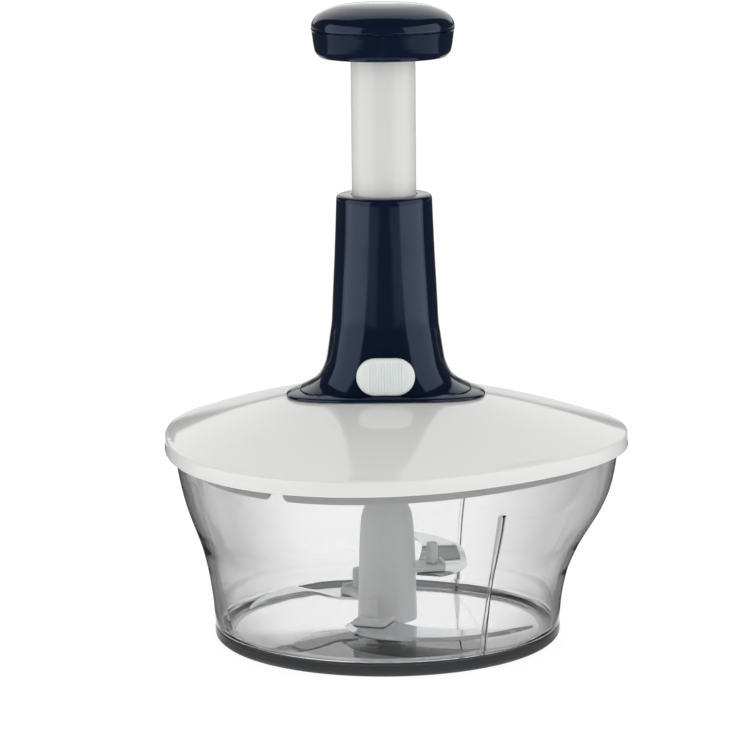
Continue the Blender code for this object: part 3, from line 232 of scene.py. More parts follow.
def smooth(rows, steps):
    """A curve through rows of numbers, with that many steps from each row to the next."""
    curve = []
    for i in range(len(rows) - 1):
        before, here, there, after = (rows[max(min(i + k, len(rows) - 1), 0)] for k in (-1, 0, 1, 2))
        for k in range(steps):
            t = k / steps
            curve.append(tuple(
                0.5 * (2 * b + (c - a) * t + (2 * a - 5 * b + 4 * c - d) * t * t + (3 * b - a - 3 * c + d) * t ** 3)
                for a, b, c, d in zip(before, here, there, after)))
    return curve + [tuple(rows[-1])]


def rounded(corners, steps=5):
    """Turns corners of radius, height and fillet into profile points of radius, lobe and height."""
    points = []
    for i, corner in enumerate(corners):
        radius, height, fillet = corner[:3]
        lobe = corner[3] if len(corner) > 3 else 0.0
        here = Vector((radius, height))
        if fillet and 0 < i < len(corners) - 1:
            into = (Vector(corners[i - 1][:2]) - here)
            out = (Vector(corners[i + 1][:2]) - here)
            cut = min(fillet, into.length * 0.48, out.length * 0.48)
            start, end = here + into.normalized() * cut, here + out.normalized() * cut
            for k in range(steps + 1):
                t = k / steps
                place = start * (1 - t) ** 2 + here * (2 * t * (1 - t)) + end * t * t
                points.append((place.x, lobe, place.y))
        else:
            points.append((radius, lobe, height))
    return points


def turning_tree():
    """Turns a row of profile points, kept as radius, lobe and height, about Z into a lobed skin."""
    group = bpy.data.node_groups.new("lobed turning", "GeometryNodeTree")
    face = group.interface
    face.new_socket("Geometry", in_out="INPUT", socket_type="NodeSocketGeometry")
    for label, kind in (("Rows", "Int"), ("Segments", "Int"), ("Lobe Azimuth", "Float"), ("Material", "Material")):
        face.new_socket(label, in_out="INPUT", socket_type="NodeSocket" + kind)
    face.new_socket("Geometry", in_out="OUTPUT", socket_type="NodeSocketGeometry")
    given = node(group, "NodeGroupInput", {}).outputs

    def sums(operation, first, second):
        return node(group, "ShaderNodeMath", {"operation": operation, 0: first, 1: second}).outputs[0]

    def product(first, second):
        return sums("MULTIPLY", first, second)

    columns = sums("ADD", given["Segments"], 1.0)
    index = node(group, "GeometryNodeInputIndex", {}).outputs[0]
    row = sums("FLOOR", sums("DIVIDE", sums("ADD", index, 0.5), columns), 0.0)
    column = sums("FLOOR", sums("SUBTRACT", sums("ADD", index, 0.5), product(row, columns)), 0.0)
    count = node(group, "GeometryNodeAttributeDomainSize", {"Geometry": given["Geometry"]}).outputs["Point Count"]
    where = node(group, "GeometryNodeInputPosition", {}).outputs[0]
    picked = node(group, "GeometryNodeSampleIndex", {
        "data_type": "FLOAT_VECTOR", "Geometry": given["Geometry"], "Value": where,
        "Index": sums("MODULO", row, count)})
    parts = node(group, "ShaderNodeSeparateXYZ", {0: picked.outputs[0]}).outputs
    azimuth = product(sums("DIVIDE", sums("MODULO", column, given["Segments"]), given["Segments"]), math.tau)
    wave = sums("COSINE", product(sums("SUBTRACT", azimuth, given["Lobe Azimuth"]), 3.0), 0.0)
    radius = sums("ADD", parts[0], product(parts[1], wave))
    place = node(group, "ShaderNodeCombineXYZ", {
        0: product(radius, sums("COSINE", azimuth, 0.0)), 1: product(radius, sums("SINE", azimuth, 0.0)),
        2: parts[2]})
    sheet = node(group, "GeometryNodeMeshGrid", {"Vertices X": given["Rows"], "Vertices Y": columns})
    moved = node(group, "GeometryNodeSetPosition", {"Geometry": sheet.outputs[0], "Position": place.outputs[0]})
    joined = node(group, "GeometryNodeMergeByDistance", {"Geometry": moved.outputs[0], "Distance": 0.002 * mm})
    real = node(group, "GeometryNodeRealizeInstances", {"Geometry": joined.outputs[0]})
    painted = node(group, "GeometryNodeSetMaterial", {
        "Geometry": real.outputs[0], "Material": given["Material"]})
    node(group, "NodeGroupOutput", {"Geometry": painted.outputs[0]})
    return group


def made_real(name, made, finish, sharp):
    """Turns what the object's modifiers make into a plain mesh, with its faces outwards."""
    mesh = bpy.data.meshes.new_from_object(made.evaluated_get(bpy.context.evaluated_depsgraph_get()))
    made.modifiers.clear()
    shape = bmesh.new()
    shape.from_mesh(mesh)
    bmesh.ops.dissolve_degenerate(shape, dist=0.0005 * mm, edges=shape.edges)
    bmesh.ops.recalc_face_normals(shape, faces=shape.faces)
    shape.to_mesh(mesh)
    shape.free()
    mesh.materials.clear()
    mesh.materials.append(finish)
    mesh.shade_smooth()
    mesh.set_sharp_from_angle(angle=math.radians(sharp))
    mesh.name = name
    made.data = mesh
    return made


def new_object(name, mesh):
    made = bpy.data.objects.new(name, mesh)
    bpy.context.scene.collection.objects.link(made)
    return made


def set_input(modifier, label, value):
    for item in modifier.node_group.interface.items_tree:
        if item.item_type == "SOCKET" and item.in_out == "INPUT" and item.name == label:
            modifier[item.identifier] = value


lobed_turning = turning_tree()


def turned(name, profile, finish, segments=96, closed=False, sharp=40):
    """A piece turned from profile points of radius, lobe and height. A closed profile joins end to start."""
    mesh = bpy.data.meshes.new(name)
    mesh.from_pydata(profile, [], [])
    made = new_object(name, mesh)
    step = made.modifiers.new("turn", "NODES")
    step.node_group = lobed_turning
    set_input(step, "Rows", len(profile) + (1 if closed else 0))
    set_input(step, "Segments", segments)
    set_input(step, "Lobe Azimuth", lobe_azimuth)
    set_input(step, "Material", finish)
    return made_real(name, made, finish, sharp)


def skin(name, rings, finish, closed=False, sharp=40):
    """A piece skinned over rings of points. Its ends are capped, or its last ring joins its first."""
    mesh = bpy.data.meshes.new(name)
    shape = bmesh.new()
    rows = [[shape.verts.new(point) for point in ring] for ring in rings]
    count = len(rows[0])
    pairs = list(zip(rows, rows[1:])) + ([(rows[-1], rows[0])] if closed else [])
    for first, second in pairs:
        for i in range(count):
            shape.faces.new((first[i], first[(i + 1) % count], second[(i + 1) % count], second[i]))
    if not closed:
        shape.faces.new(rows[0])
        shape.faces.new(rows[-1])
    bmesh.ops.recalc_face_normals(shape, faces=shape.faces)
    shape.to_mesh(mesh)
    shape.free()
    mesh.materials.append(finish)
    mesh.shade_smooth()
    mesh.set_sharp_from_angle(angle=math.radians(sharp))
    return new_object(name, mesh)


def polar(radius, azimuth, height=0.0):
    return Vector((radius * math.cos(azimuth), radius * math.sin(azimuth), height))


# Smoked SAN: clear with a grey cast that deepens where the wall is seen along its length, and a polished
# skin with a very slight ripple.
smoked_san, tree = blank_material("smoked SAN, polished")
where = node(tree, "ShaderNodeTexCoord", {})
ripple = node(tree, "ShaderNodeTexNoise", {"Vector": where.outputs["Object"], "Scale": 25.0, "Detail": 0.0})
bump = node(tree, "ShaderNodeBump", {"Height": ripple.outputs[0], "Strength": 0.007, "Distance": 1.0 * mm})
shader = node(tree, "ShaderNodeBsdfPrincipled", {
    "Base Color": linear("#ffffff"), "Roughness": 0.01, "IOR": 1.57, "Transmission Weight": 1.0,
    "Coat Weight": 0.7, "Coat Roughness": 0.01, "Normal": bump.outputs[0]})
path = node(tree, "ShaderNodeLightPath", {})
clear = node(tree, "ShaderNodeBsdfTransparent", {"Color": linear("#eeeff0")})
lets_lamps_in = node(tree, "ShaderNodeMixShader", {
    0: path.outputs["Is Shadow Ray"], 1: shader.outputs[0], 2: clear.outputs[0]})
smoke = node(tree, "ShaderNodeVolumeAbsorption", {"Color": linear("#8f9295"), "Density": 24.0})
node(tree, "ShaderNodeOutputMaterial", {"Surface": lets_lamps_in.outputs[0], "Volume": smoke.outputs[0]})

outer_wall = []
for share, flare, lobe in smooth(wall_rows, 6):
    outer_wall.append((base_radius + flare * (rim_radius - base_radius), lobe * lobe_depth,
                       wall_bottom + share * (bowl_height - wall_bottom)))


def wall_at(height):
    """Radius and lobe depth of the bowl's outer face at a height."""
    for low, high in zip(outer_wall, outer_wall[1:]):
        if height <= high[2]:
            part = max(height - low[2], 0.0) / (high[2] - low[2])
            return low[0] + part * (high[0] - low[0]), low[1] + part * (high[1] - low[1])


inner_wall = [(r - bowl_wall, lobe, h) for r, lobe, h in reversed(outer_wall) if h > 10 * mm]
bowl_profile = rounded([
    (0.0, 0.8 * mm, 0), (69.2 * mm, 0.8 * mm, 0.3 * mm), (69.2 * mm, 2.0 * mm, 0.2 * mm),
    (74.5 * mm, 2.0 * mm, 0.3 * mm), (74.5 * mm, 6.8 * mm, 0.2 * mm),
])
bowl_profile += outer_wall[:-1]
bowl_profile += [(rim_radius - 0.1 * mm, lobe_depth, bowl_height - 0.3 * mm)]
bowl_profile += [(rim_radius - 0.5 * mm, lobe_depth, bowl_height)]
bowl_profile += [(rim_radius - bowl_wall + 0.5 * mm, lobe_depth, bowl_height)]
bowl_profile += inner_wall[1:]
corner = 5.0 * mm
for k in range(9):
    angle = math.radians(90) * k / 8
    bowl_profile.append((base_radius - bowl_wall - corner * (1 - math.cos(angle)), 0.0,
                         floor_top + corner * (1 - math.sin(angle))))
bowl_profile += rounded([
    (60 * mm, floor_top, 0), (6.5 * mm, floor_top, 0.8 * mm), (6.5 * mm, 7.0 * mm, 0.5 * mm),
    (3.3 * mm, 7.0 * mm, 0.3 * mm), (3.3 * mm, 2.2 * mm, 0.3 * mm), (0.0, 2.2 * mm, 0),
])
bowl = turned("bowl_clear", bowl_profile, smoked_san, segments=180, sharp=50)


def bead(name, azimuth):
    """One bead: it follows the wall from the floor up, and its top is rounded over."""
    low, high = floor_top - 1.2 * mm, bowl_height - 19.0 * mm
    half, depth = 0.9 * mm, 3.6 * mm
    across, along = polar(1, azimuth + math.pi / 2), polar(1, azimuth)
    heights = [low, wall_bottom + 0.3 * mm] + [10 * mm + (high - 10 * mm) * k / 40 for k in range(41)]
    heights += [high + depth * math.sin(math.radians(a)) * 0.5 for a in (20, 40, 60, 80)]
    rings = []
    for k, height in enumerate(heights):
        radius, lobe = wall_at(min(height, high))
        face = radius + lobe * math.cos(3 * (azimuth - lobe_azimuth)) - bowl_wall
        over = max(height - high, 0) / (depth * 0.5)
        root = face + bowl_wall / 2 if k > 1 else base_radius - 3.8 * mm
        chord = 75.5 * mm + 14.3 * mm * (min(height, high) - 10 * mm) / (high - 10 * mm)
        nose = min(chord, root + 1.0 * mm) - depth * math.sqrt(max(1 - over ** 2, 0.03))
        rise = Vector((0, 0, height))
        edge = [(nose + half * (1 - math.cos(math.radians(a))), half * math.sin(math.radians(a)))
                for a in (15, 35, 60, 90)]
        edge.append((root, half))
        rings.append([rise + along * r - across * s for r, s in edge]
                     + [rise + along * r + across * s for r, s in reversed(edge)])
    return skin(name, rings, smoked_san)


def join_on(target, other, operation="UNION"):
    """Joins the other piece on, or cuts with it, and leaves a plain mesh."""
    step = target.modifiers.new(operation.lower(), "BOOLEAN")
    step.operation = operation
    step.solver = "EXACT"
    step.object = other
    mesh = bpy.data.meshes.new_from_object(target.evaluated_get(bpy.context.evaluated_depsgraph_get()))
    target.modifiers.clear()
    target.data = mesh
    bpy.data.objects.remove(other)


for k in range(3):
    join_on(bowl, bead("bead_%d" % k, math.radians(63.5 + 120 * k)))
bowl.data.shade_smooth()
bowl.data.set_sharp_from_angle(angle=math.radians(50))
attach(bowl, "bowl")
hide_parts("bowl")


# Non-slip foot: a ring of translucent smoke-grey elastomer, moulded to wrap the bowl's lower corner.
# It has a satin skin and a rounded outer edge.
# The elastomer lets some light through, so its thick front looks dark and its thin edges lighter.
elastomer, tree = blank_material("smoke-grey elastomer, moulded")
where = node(tree, "ShaderNodeTexCoord", {})
grain = node(tree, "ShaderNodeTexNoise", {"Vector": where.outputs["Object"], "Scale": 1400.0, "Detail": 3.0})
bump = node(tree, "ShaderNodeBump", {"Height": grain.outputs[0], "Strength": 0.08, "Distance": 0.1 * mm})
shader = node(tree, "ShaderNodeBsdfPrincipled", {
    "Base Color": linear("#a0a2a6"), "Roughness": 0.12, "IOR": 1.45, "Transmission Weight": 0.9,
    "Normal": bump.outputs[0]})
path = node(tree, "ShaderNodeLightPath", {})
clear = node(tree, "ShaderNodeBsdfTransparent", {"Color": linear("#9a9a9b")})
lets_lamps_in = node(tree, "ShaderNodeMixShader", {
    0: path.outputs["Is Shadow Ray"], 1: shader.outputs[0], 2: clear.outputs[0]})
smoke = node(tree, "ShaderNodeVolumeAbsorption", {"Color": linear("#56585b"), "Density": 170.0})
node(tree, "ShaderNodeOutputMaterial", {"Surface": lets_lamps_in.outputs[0], "Volume": smoke.outputs[0]})
foot = turned("foot_ring", rounded([
    (76.4 * mm, 6.5 * mm, 0.4 * mm), (78.0 * mm, 6.5 * mm, 0.6 * mm), (78.0 * mm, 1.8 * mm, 1.8 * mm),
    (75.7 * mm, 0.0, 0.7 * mm), (69.5 * mm, 0.0, 0.5 * mm), (69.5 * mm, 1.7 * mm, 0.4 * mm),
    (74.8 * mm, 1.7 * mm, 0.1 * mm), (74.8 * mm, 6.5 * mm, 0.4 * mm), (76.4 * mm, 6.5 * mm, 0),
]), elastomer, segments=144, closed=True)
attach(foot, "bowl")
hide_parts("nonslip_foot")


# Pivot pin: a turned stainless pin, pressed into the floor's boss. The blade unit spins on it, on a
# sintered bronze bush.
def metal(name, colour, roughness):
    """Bare metal: fine drawn lines change its gloss along the piece."""
    made, tree = blank_material(name)
    where = node(tree, "ShaderNodeTexCoord", {})
    stretch = node(tree, "ShaderNodeMapping", {"Vector": where.outputs["Object"], "Scale": (3.0, 3.0, 60.0)})
    lines = node(tree, "ShaderNodeTexNoise", {"Vector": stretch.outputs[0], "Scale": 60.0, "Detail": 2.0})
    rough = node(tree, "ShaderNodeMapRange", {
        "Value": lines.outputs[0], "To Min": roughness * 0.8, "To Max": roughness * 1.3})
    shader = node(tree, "ShaderNodeBsdfPrincipled", {
        "Base Color": linear(colour), "Metallic": 1.0, "Roughness": rough.outputs[0]})
    node(tree, "ShaderNodeOutputMaterial", {"Surface": shader.outputs[0]})
    return made


def finish_node(name, finish):
    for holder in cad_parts[name].material_slots:
        holder.material = finish


stainless = metal("stainless steel, polished", "#e2e4e6", 0.12)
bronze = metal("sintered bronze", "#9a7a4a", 0.4)
finish_node("pivot_pin", stainless)
finish_node("hub_bush", bronze)


# Blade unit: a hollow grey nylon hub with three flat arms at three levels. Each arm carries a sickle
# blade of stainless sheet, riveted under it by the shank of a moulded peg.
def plastic(name, colour, roughness, bump_scale=500.0, bump_strength=0.05, tint="#ffffff", subsurface=0.0):
    """Moulded plastic: a fine grain lifts its skin and varies its gloss."""
    made, tree = blank_material(name)
    where = node(tree, "ShaderNodeTexCoord", {})
    grain = node(tree, "ShaderNodeTexNoise", {
        "Vector": where.outputs["Object"], "Scale": bump_scale, "Detail": 2.0})
    bump = node(tree, "ShaderNodeBump", {
        "Height": grain.outputs[0], "Strength": bump_strength, "Distance": 0.2 * mm})
    rough = node(tree, "ShaderNodeMapRange", {
        "Value": grain.outputs[0], "To Min": roughness * 0.85, "To Max": roughness * 1.15})
    shader = node(tree, "ShaderNodeBsdfPrincipled", {
        "Base Color": linear(colour), "Roughness": rough.outputs[0], "IOR": 1.5, "Specular Tint": linear(tint),
        "Subsurface Weight": subsurface, "Subsurface Scale": 2.0 * mm, "Normal": bump.outputs[0]})
    node(tree, "ShaderNodeOutputMaterial", {"Surface": shader.outputs[0]})
    return made


grey_nylon = plastic("grey nylon, moulded", "#e2e4e4", 0.35, bump_scale=900.0, subsurface=0.15)
hub_bottom = 7.5 * mm
hub_top = 62.0 * mm
hub_rows = (
    (0.0, 0.0), (0.06, 0.26), (0.13, 0.56), (0.265, 0.74), (0.52, 0.86), (0.86, 0.96), (0.95, 1.0), (1.0, 1.0),
)
hub_skin = [((8.9 + r * 4.5) * mm, 0.0, hub_top - h * (hub_top - hub_bottom)) for h, r in smooth(hub_rows, 5)]
hub_profile = [(6.0 * mm, 0.0, hub_top), (8.4 * mm, 0.0, hub_top)] + hub_skin[1:-1]
hub_profile += rounded([
    (13.4 * mm, hub_bottom + 1 * mm, 0), (13.4 * mm, hub_bottom, 0.5 * mm), (4.9 * mm, hub_bottom, 0.3 * mm),
    (4.9 * mm, 20.0 * mm, 0.3 * mm), (0.05 * mm, 20.0 * mm, 0), (0.05 * mm, 25.0 * mm, 0), (6.0 * mm, 25.0 * mm, 0),
])[1:]
hub = turned("hub_body", hub_profile, grey_nylon, closed=True)


def slab(name, outline, low, high, finish, azimuth=0.0, soft=0.3 * mm):
    """A flat piece on an outline of x, y pairs, with its edges softened, turned about Z."""
    turn = Matrix.Rotation(azimuth, 4, "Z")
    rings = [[turn @ Vector((x, y, height)) for x, y in outline] for height in (high, low)]
    piece = skin(name, rings, finish)
    if soft:
        edge = piece.modifiers.new("edge", "BEVEL")
        edge.width = soft
        edge.segments = 2
        edge.limit_method = "ANGLE"
        edge.angle_limit = math.radians(40)
        mesh = bpy.data.meshes.new_from_object(piece.evaluated_get(bpy.context.evaluated_depsgraph_get()))
        piece.modifiers.clear()
        piece.data = mesh
    return piece


hexagon = [tuple(polar(15.6 * mm / math.sqrt(3), math.tau * k / 6)[:2]) for k in range(6)]
bore = [tuple(polar(6.0 * mm, math.tau * k / 48)[:2]) for k in range(48)]
join_on(hub, slab("neck", hexagon, hub_top - 1.5 * mm, 82.0 * mm, grey_nylon))
join_on(hub, slab("neck_bore", bore, hub_top - 6 * mm, 84.0 * mm, grey_nylon, soft=0), "DIFFERENCE")

levels = (
    # name, azimuth, underside height, rise past the arm, sweep, tip radius
    ("lower", math.radians(-110), 8.0 * mm, 0.0, math.radians(90), 68.5 * mm),
    ("middle", math.radians(130), 13.8 * mm, 4.0 * mm, math.radians(72), 66.5 * mm),
    ("upper", math.radians(10), 28.2 * mm, 5.0 * mm, math.radians(84), 66.5 * mm),
)
sheet = 1.2 * mm
arm_thickness = 2.3 * mm


def sickle(name, azimuth, low, rise, sweep, tip):
    """A blade in cross-sections from heel to tip, ground along its outer edge and bent up past its arm."""
    heel_turn, heel_radius, foot_radius = math.radians(-28), 25.5 * mm, 13.4 * mm
    stations, strips = 72, 12
    rings = []
    for i in range(stations + 1):
        turn = heel_turn + (sweep - heel_turn) * i / stations
        outer = tip - (tip - heel_radius) * (1 - i / stations) ** 0.92
        inner = tip - 0.8 * mm - (tip - foot_radius) * (sweep - turn) / math.radians(54)
        inner = max(inner, foot_radius + 0.6 * mm)
        grind = min(3.2 * mm, (outer - inner) * 0.6)
        shares = [k / strips for k in range(strips + 1)]
        section = [(inner + s * (outer - inner), 0.0) for s in shares] + [(outer, 0.12 * mm)]
        section += [(inner + s * (outer - grind - inner), sheet) for s in reversed(shares)]
        ring = []
        for radius, up in section:
            past = (radius * math.sin(turn) - 9.5 * mm) / (17.0 * mm)
            past = min(max(past, 0.0), 1.0)
            ring.append(polar(radius, azimuth + turn, low + past * past * (3 - 2 * past) * rise + up))
        rings.append(ring)
    return skin(name, rings, stainless, sharp=14)


for name, azimuth, low, rise, sweep, tip in levels:
    arm_low = low + sheet + 0.3 * mm
    arm_top = arm_low + arm_thickness
    arm = slab("arm_" + name, [(10 * mm, -7.5 * mm), (24.6 * mm, -7.5 * mm), (26 * mm, -5.4 * mm), (26 * mm, 5.4 * mm),
                               (24.6 * mm, 7.5 * mm), (10 * mm, 7.5 * mm)], arm_low, arm_top, grey_nylon, azimuth)
    lip = slab("lip_" + name, [(24.6 * mm, -5.4 * mm), (25.95 * mm, -5.4 * mm), (25.95 * mm, 5.4 * mm),
                               (24.6 * mm, 5.4 * mm)], arm_low + 1 * mm, arm_top + 1.4 * mm, grey_nylon, azimuth)
    join_on(arm, lip)
    join_on(hub, arm)
    x, y, _ = polar(20.7 * mm, azimuth)
    hole = slab("peg_way", [(x + a, y + b) for a, b, _ in (polar(2.1 * mm, math.tau * k / 32) for k in range(32))],
                low - 1 * mm, arm_top + 3 * mm, grey_nylon, soft=0)
    twin = hole.copy()
    twin.data = hole.data.copy()
    bpy.context.scene.collection.objects.link(twin)
    join_on(hub, hole, "DIFFERENCE")
    blade = sickle(name + "_sickle", azimuth, low, rise, sweep, tip)
    join_on(blade, twin, "DIFFERENCE")
    blade.data.shade_smooth()
    blade.data.set_sharp_from_angle(angle=math.radians(14))
    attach(blade, "blade_unit")
    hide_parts(name + "_blade")
    peg_top = arm_low + arm_thickness + 9.6 * mm
    peg = turned(name + "_moulded_peg", rounded([
        (0.0, peg_top, 0), (2.6 * mm, peg_top, 2.0 * mm), (2.6 * mm, arm_top + 0.3 * mm, 0.1 * mm),
        (1.8 * mm, arm_top + 0.3 * mm, 0.1 * mm), (1.8 * mm, low - 0.3 * mm, 0.1 * mm),
        (2.6 * mm, low - 0.3 * mm, 0.1 * mm), (2.6 * mm, low - 1.2 * mm, 0.4 * mm), (0.0, low - 1.2 * mm, 0),
    ]), grey_nylon, segments=40)
    peg.data.transform(Matrix.Translation((x, y, 0)))
    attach(peg, "blade_unit")
    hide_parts(name + "_peg")
hub.data.shade_smooth()
hub.data.set_sharp_from_angle(angle=math.radians(35))
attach(hub, "blade_unit")
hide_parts("blade_hub")


# Lid: a shallow lobed dome of glossy white ABS with an upright band round its edge, closed below by
# an inner cover that seats on the bowl's rim. Three screws hold the cover to the lid's bosses.
edge_radius = 102.7 * mm
band_radius = 104.1 * mm
edge_height = 93.1 * mm
apex_height = 113.4 * mm
lid_wall = 2.4 * mm
white_abs = plastic("white ABS, polished", "#e6e6e4", 0.09, bump_scale=120.0, bump_strength=0.03)


def dome(radius):
    return apex_height - (apex_height - edge_height) * (radius / edge_radius) ** 2


lid_profile = []
for k in range(25):
    r = 21.0 * mm + (edge_radius - 1.2 * mm - 21.0 * mm) * k / 24
    lid_profile.append((r, lobe_depth * (r / edge_radius) ** 3, dome(r)))
lid_profile += [(r, lobe_depth, h) for r, _, h in rounded([
    (edge_radius - 1.0 * mm, dome(edge_radius - 1.0 * mm), 0), (band_radius - 0.3 * mm, edge_height - 0.3 * mm, 0.8 * mm),
    (band_radius, 86.0 * mm, 0.8 * mm), (band_radius - lid_wall, 86.0 * mm, 0.5 * mm),
    (band_radius - lid_wall, 90.5 * mm, 0.5 * mm), (band_radius - lid_wall - 2 * mm, dome(band_radius - 4.4 * mm) - lid_wall, 0),
])]
for k in range(13):
    r = 98.0 * mm - (98.0 - 21.0) * mm * k / 12
    lid_profile.append((r, lobe_depth * (r / edge_radius) ** 3, dome(r) - lid_wall))
lid = turned("lid_dome", lid_profile, white_abs, segments=180, closed=True, sharp=50)
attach(lid, "lid")
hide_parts("lid_shell")
natural_abs = plastic("natural white ABS, moulded", "#d8d8d6", 0.3, bump_scale=300.0)
cover = turned("seat_cover", [(r, lobe, h) for r, lobe, h in (
    (15.2 * mm, 0.0, 90.2 * mm), (15.5 * mm, 0.0, 90.4 * mm), (101.2 * mm, lobe_depth, 90.4 * mm),
    (101.4 * mm, lobe_depth, 90.2 * mm), (101.4 * mm, lobe_depth, 88.8 * mm), (95.5 * mm, lobe_depth, 88.8 * mm),
    (93.0 * mm, lobe_depth, 81.0 * mm), (92.6 * mm, lobe_depth, 80.7 * mm), (91.2 * mm, lobe_depth, 80.7 * mm),
    (90.9 * mm, lobe_depth, 81.0 * mm), (90.9 * mm, lobe_depth, 88.8 * mm), (17.6 * mm, 0.0, 88.8 * mm),
    (17.6 * mm, 0.0, 66.2 * mm), (17.4 * mm, 0.0, 66.0 * mm), (15.4 * mm, 0.0, 66.0 * mm), (15.2 * mm, 0.0, 66.2 * mm))],
    natural_abs, segments=180, closed=True)
for k in range(3):
    notch = slab("notch", [(86 * mm, -3.75 * mm), (110 * mm, -3.75 * mm), (110 * mm, 3.75 * mm), (86 * mm, 3.75 * mm)],
                 82.5 * mm, 88.5 * mm, white_abs, math.radians(-118.4 + 120 * k), soft=0)
    flare = skin("notch_flare", [[Matrix.Rotation(math.radians(-118.4 + 120 * k), 4, "Z") @ Vector((x, y, height * mm))
                                  for x, y in ((86 * mm, -w * mm), (110 * mm, -w * mm), (110 * mm, w * mm), (86 * mm, w * mm))]
                                 for height, w in ((78, 5.6), (80.8, 5.2), (81.6, 4.35), (82.6, 3.75), (84, 3.7))], white_abs)
    join_on(cover, flare, "DIFFERENCE")
    join_on(cover, notch, "DIFFERENCE")
    x, y, _ = polar(60 * mm, math.radians(67.5 + 120 * k))
    hole = slab("screw_way", [(x + a, y + b) for a, b, _ in (polar(1.7 * mm, math.tau * j / 24) for j in range(24))],
                86 * mm, 93 * mm, white_abs, soft=0)
    join_on(cover, hole, "DIFFERENCE")
cover.data.shade_smooth()
cover.data.set_sharp_from_angle(angle=math.radians(40))
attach(cover, "lid")
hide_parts("inner_cover")
for k in range(3):
    finish_node("cover_screw_%d" % (k + 1), stainless)


# Tower: a navy gloss ABS neck that spreads sideways into a long oval foot on the dome. The plunger's
# guide is pressed into its top, and the drive's housing stands inside it.
navy_abs = plastic("navy ABS, high gloss", "#0e182b", 0.11, bump_scale=90.0, bump_strength=0.02, tint="#c9dcff")
tower_top = 200.5 * mm
shoulder = 197.0 * mm
neck_radius = 21.4 * mm
foot_half_width = 44.5 * mm
foot_half_depth = 31.0 * mm
tower_wall = 2.4 * mm
tube_way = 14.6 * mm
tower_rows = (
    (0.0, 0.0, 0.0), (0.15, 0.022, 0.04), (0.29, 0.045, 0.07), (0.44, 0.075, 0.11), (0.53, 0.092, 0.14),
    (0.63, 0.112, 0.18), (0.69, 0.145, 0.23), (0.755, 0.18, 0.29), (0.82, 0.22, 0.36), (0.855, 0.26, 0.39),
    (0.885, 0.31, 0.41), (0.92, 0.395, 0.43), (0.95, 0.53, 0.45), (0.975, 0.72, 0.49),
)


def oval(half_width, half_depth, squareness, height):
    """One level of the tower. A height that is a function follows the dome."""
    ring = []
    for k in range(96):
        c, s = math.cos(math.tau * k / 96), math.sin(math.tau * k / 96)
        x = half_width * math.copysign(abs(c) ** (2 / squareness), c)
        y = half_depth * math.copysign(abs(s) ** (2 / squareness), s)
        ring.append(Vector((x, y, height(math.hypot(x, y)) if callable(height) else height)))
    return ring


def level(row, wall):
    down, sideways, forward = row
    foot_top = dome(foot_half_width) + 1.9 * mm
    half_width = neck_radius + sideways * (foot_half_width - neck_radius) - wall
    half_depth = neck_radius + forward * (foot_half_depth - neck_radius) - wall
    return oval(half_width, half_depth, 2.0 + 0.9 * down ** 3, shoulder - down * (shoulder - foot_top))


def on_dome(lift):
    return lambda radius: dome(radius) + 0.3 * mm + lift


rows = smooth(tower_rows, 4)
brow = neck_radius - tube_way
rings = [oval(tube_way, tube_way, 2.0, tower_top - 0.3 * mm)]
rings.append(oval(tube_way + 0.3 * mm, tube_way + 0.3 * mm, 2.0, tower_top))
for out, down in ((0.4, 0.0), (0.74, 0.03), (0.83, 0.09), (0.9, 0.22), (0.95, 0.42), (0.98, 0.68), (0.995, 1.0)):
    rings.append(oval(tube_way + brow * out, tube_way + brow * out, 2.0, tower_top - tower_wall * down))
rings += [level(row, 0.0) for row in rows]
for out, lift in ((0.35, 2.1), (0.7, 1.75), (0.95, 1.3), (1.0, 0.9)):
    wide = foot_half_width * (0.79 + 0.21 * out)
    deep = foot_half_depth * (0.84 + 0.16 * out)
    rings.append(oval(wide, deep, 2.2 + 0.5 * (1 - out), on_dome(lift * mm)))
rings += [
    oval(foot_half_width, foot_half_depth, 2.2, on_dome(0.3 * mm)),
    oval(foot_half_width - 0.4 * mm, foot_half_depth - 0.4 * mm, 2.2, on_dome(0.0)),
    oval(foot_half_width - tower_wall * 2, foot_half_depth - tower_wall * 2, 2.2, on_dome(0.0)),
]
rings += [level(row, tower_wall) for row in tower_rows[-2::-1]]
rings.append(oval(tube_way, tube_way, 2.0, shoulder + 0.3 * mm))
tower = skin("tower_neck", rings, navy_abs, closed=True, sharp=38)

lock_height = 122.8 * mm
slot_half = (4.6 * mm, 3.1 * mm)
slot_ring = [(-slot_half[0], -slot_half[1]), (slot_half[0] + 6 * mm, -slot_half[1]),
             (slot_half[0] + 6 * mm, slot_half[1]), (-slot_half[0], slot_half[1])]
slot_rings = [[Vector((x, y, lock_height + z)) for x, z in slot_ring] for y in (-30 * mm, -19 * mm)]
slot_cut = skin("slot", slot_rings, navy_abs)
join_on(tower, slot_cut, "DIFFERENCE")
tower.data.shade_smooth()
tower.data.set_sharp_from_angle(angle=math.radians(38))
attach(tower, "lid")
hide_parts("tower_housing")
for name in ("plunger_guide", "drive_housing", "drive_nut", "drive_coupling", "lock_catch"):
    finish_node(name, grey_nylon)


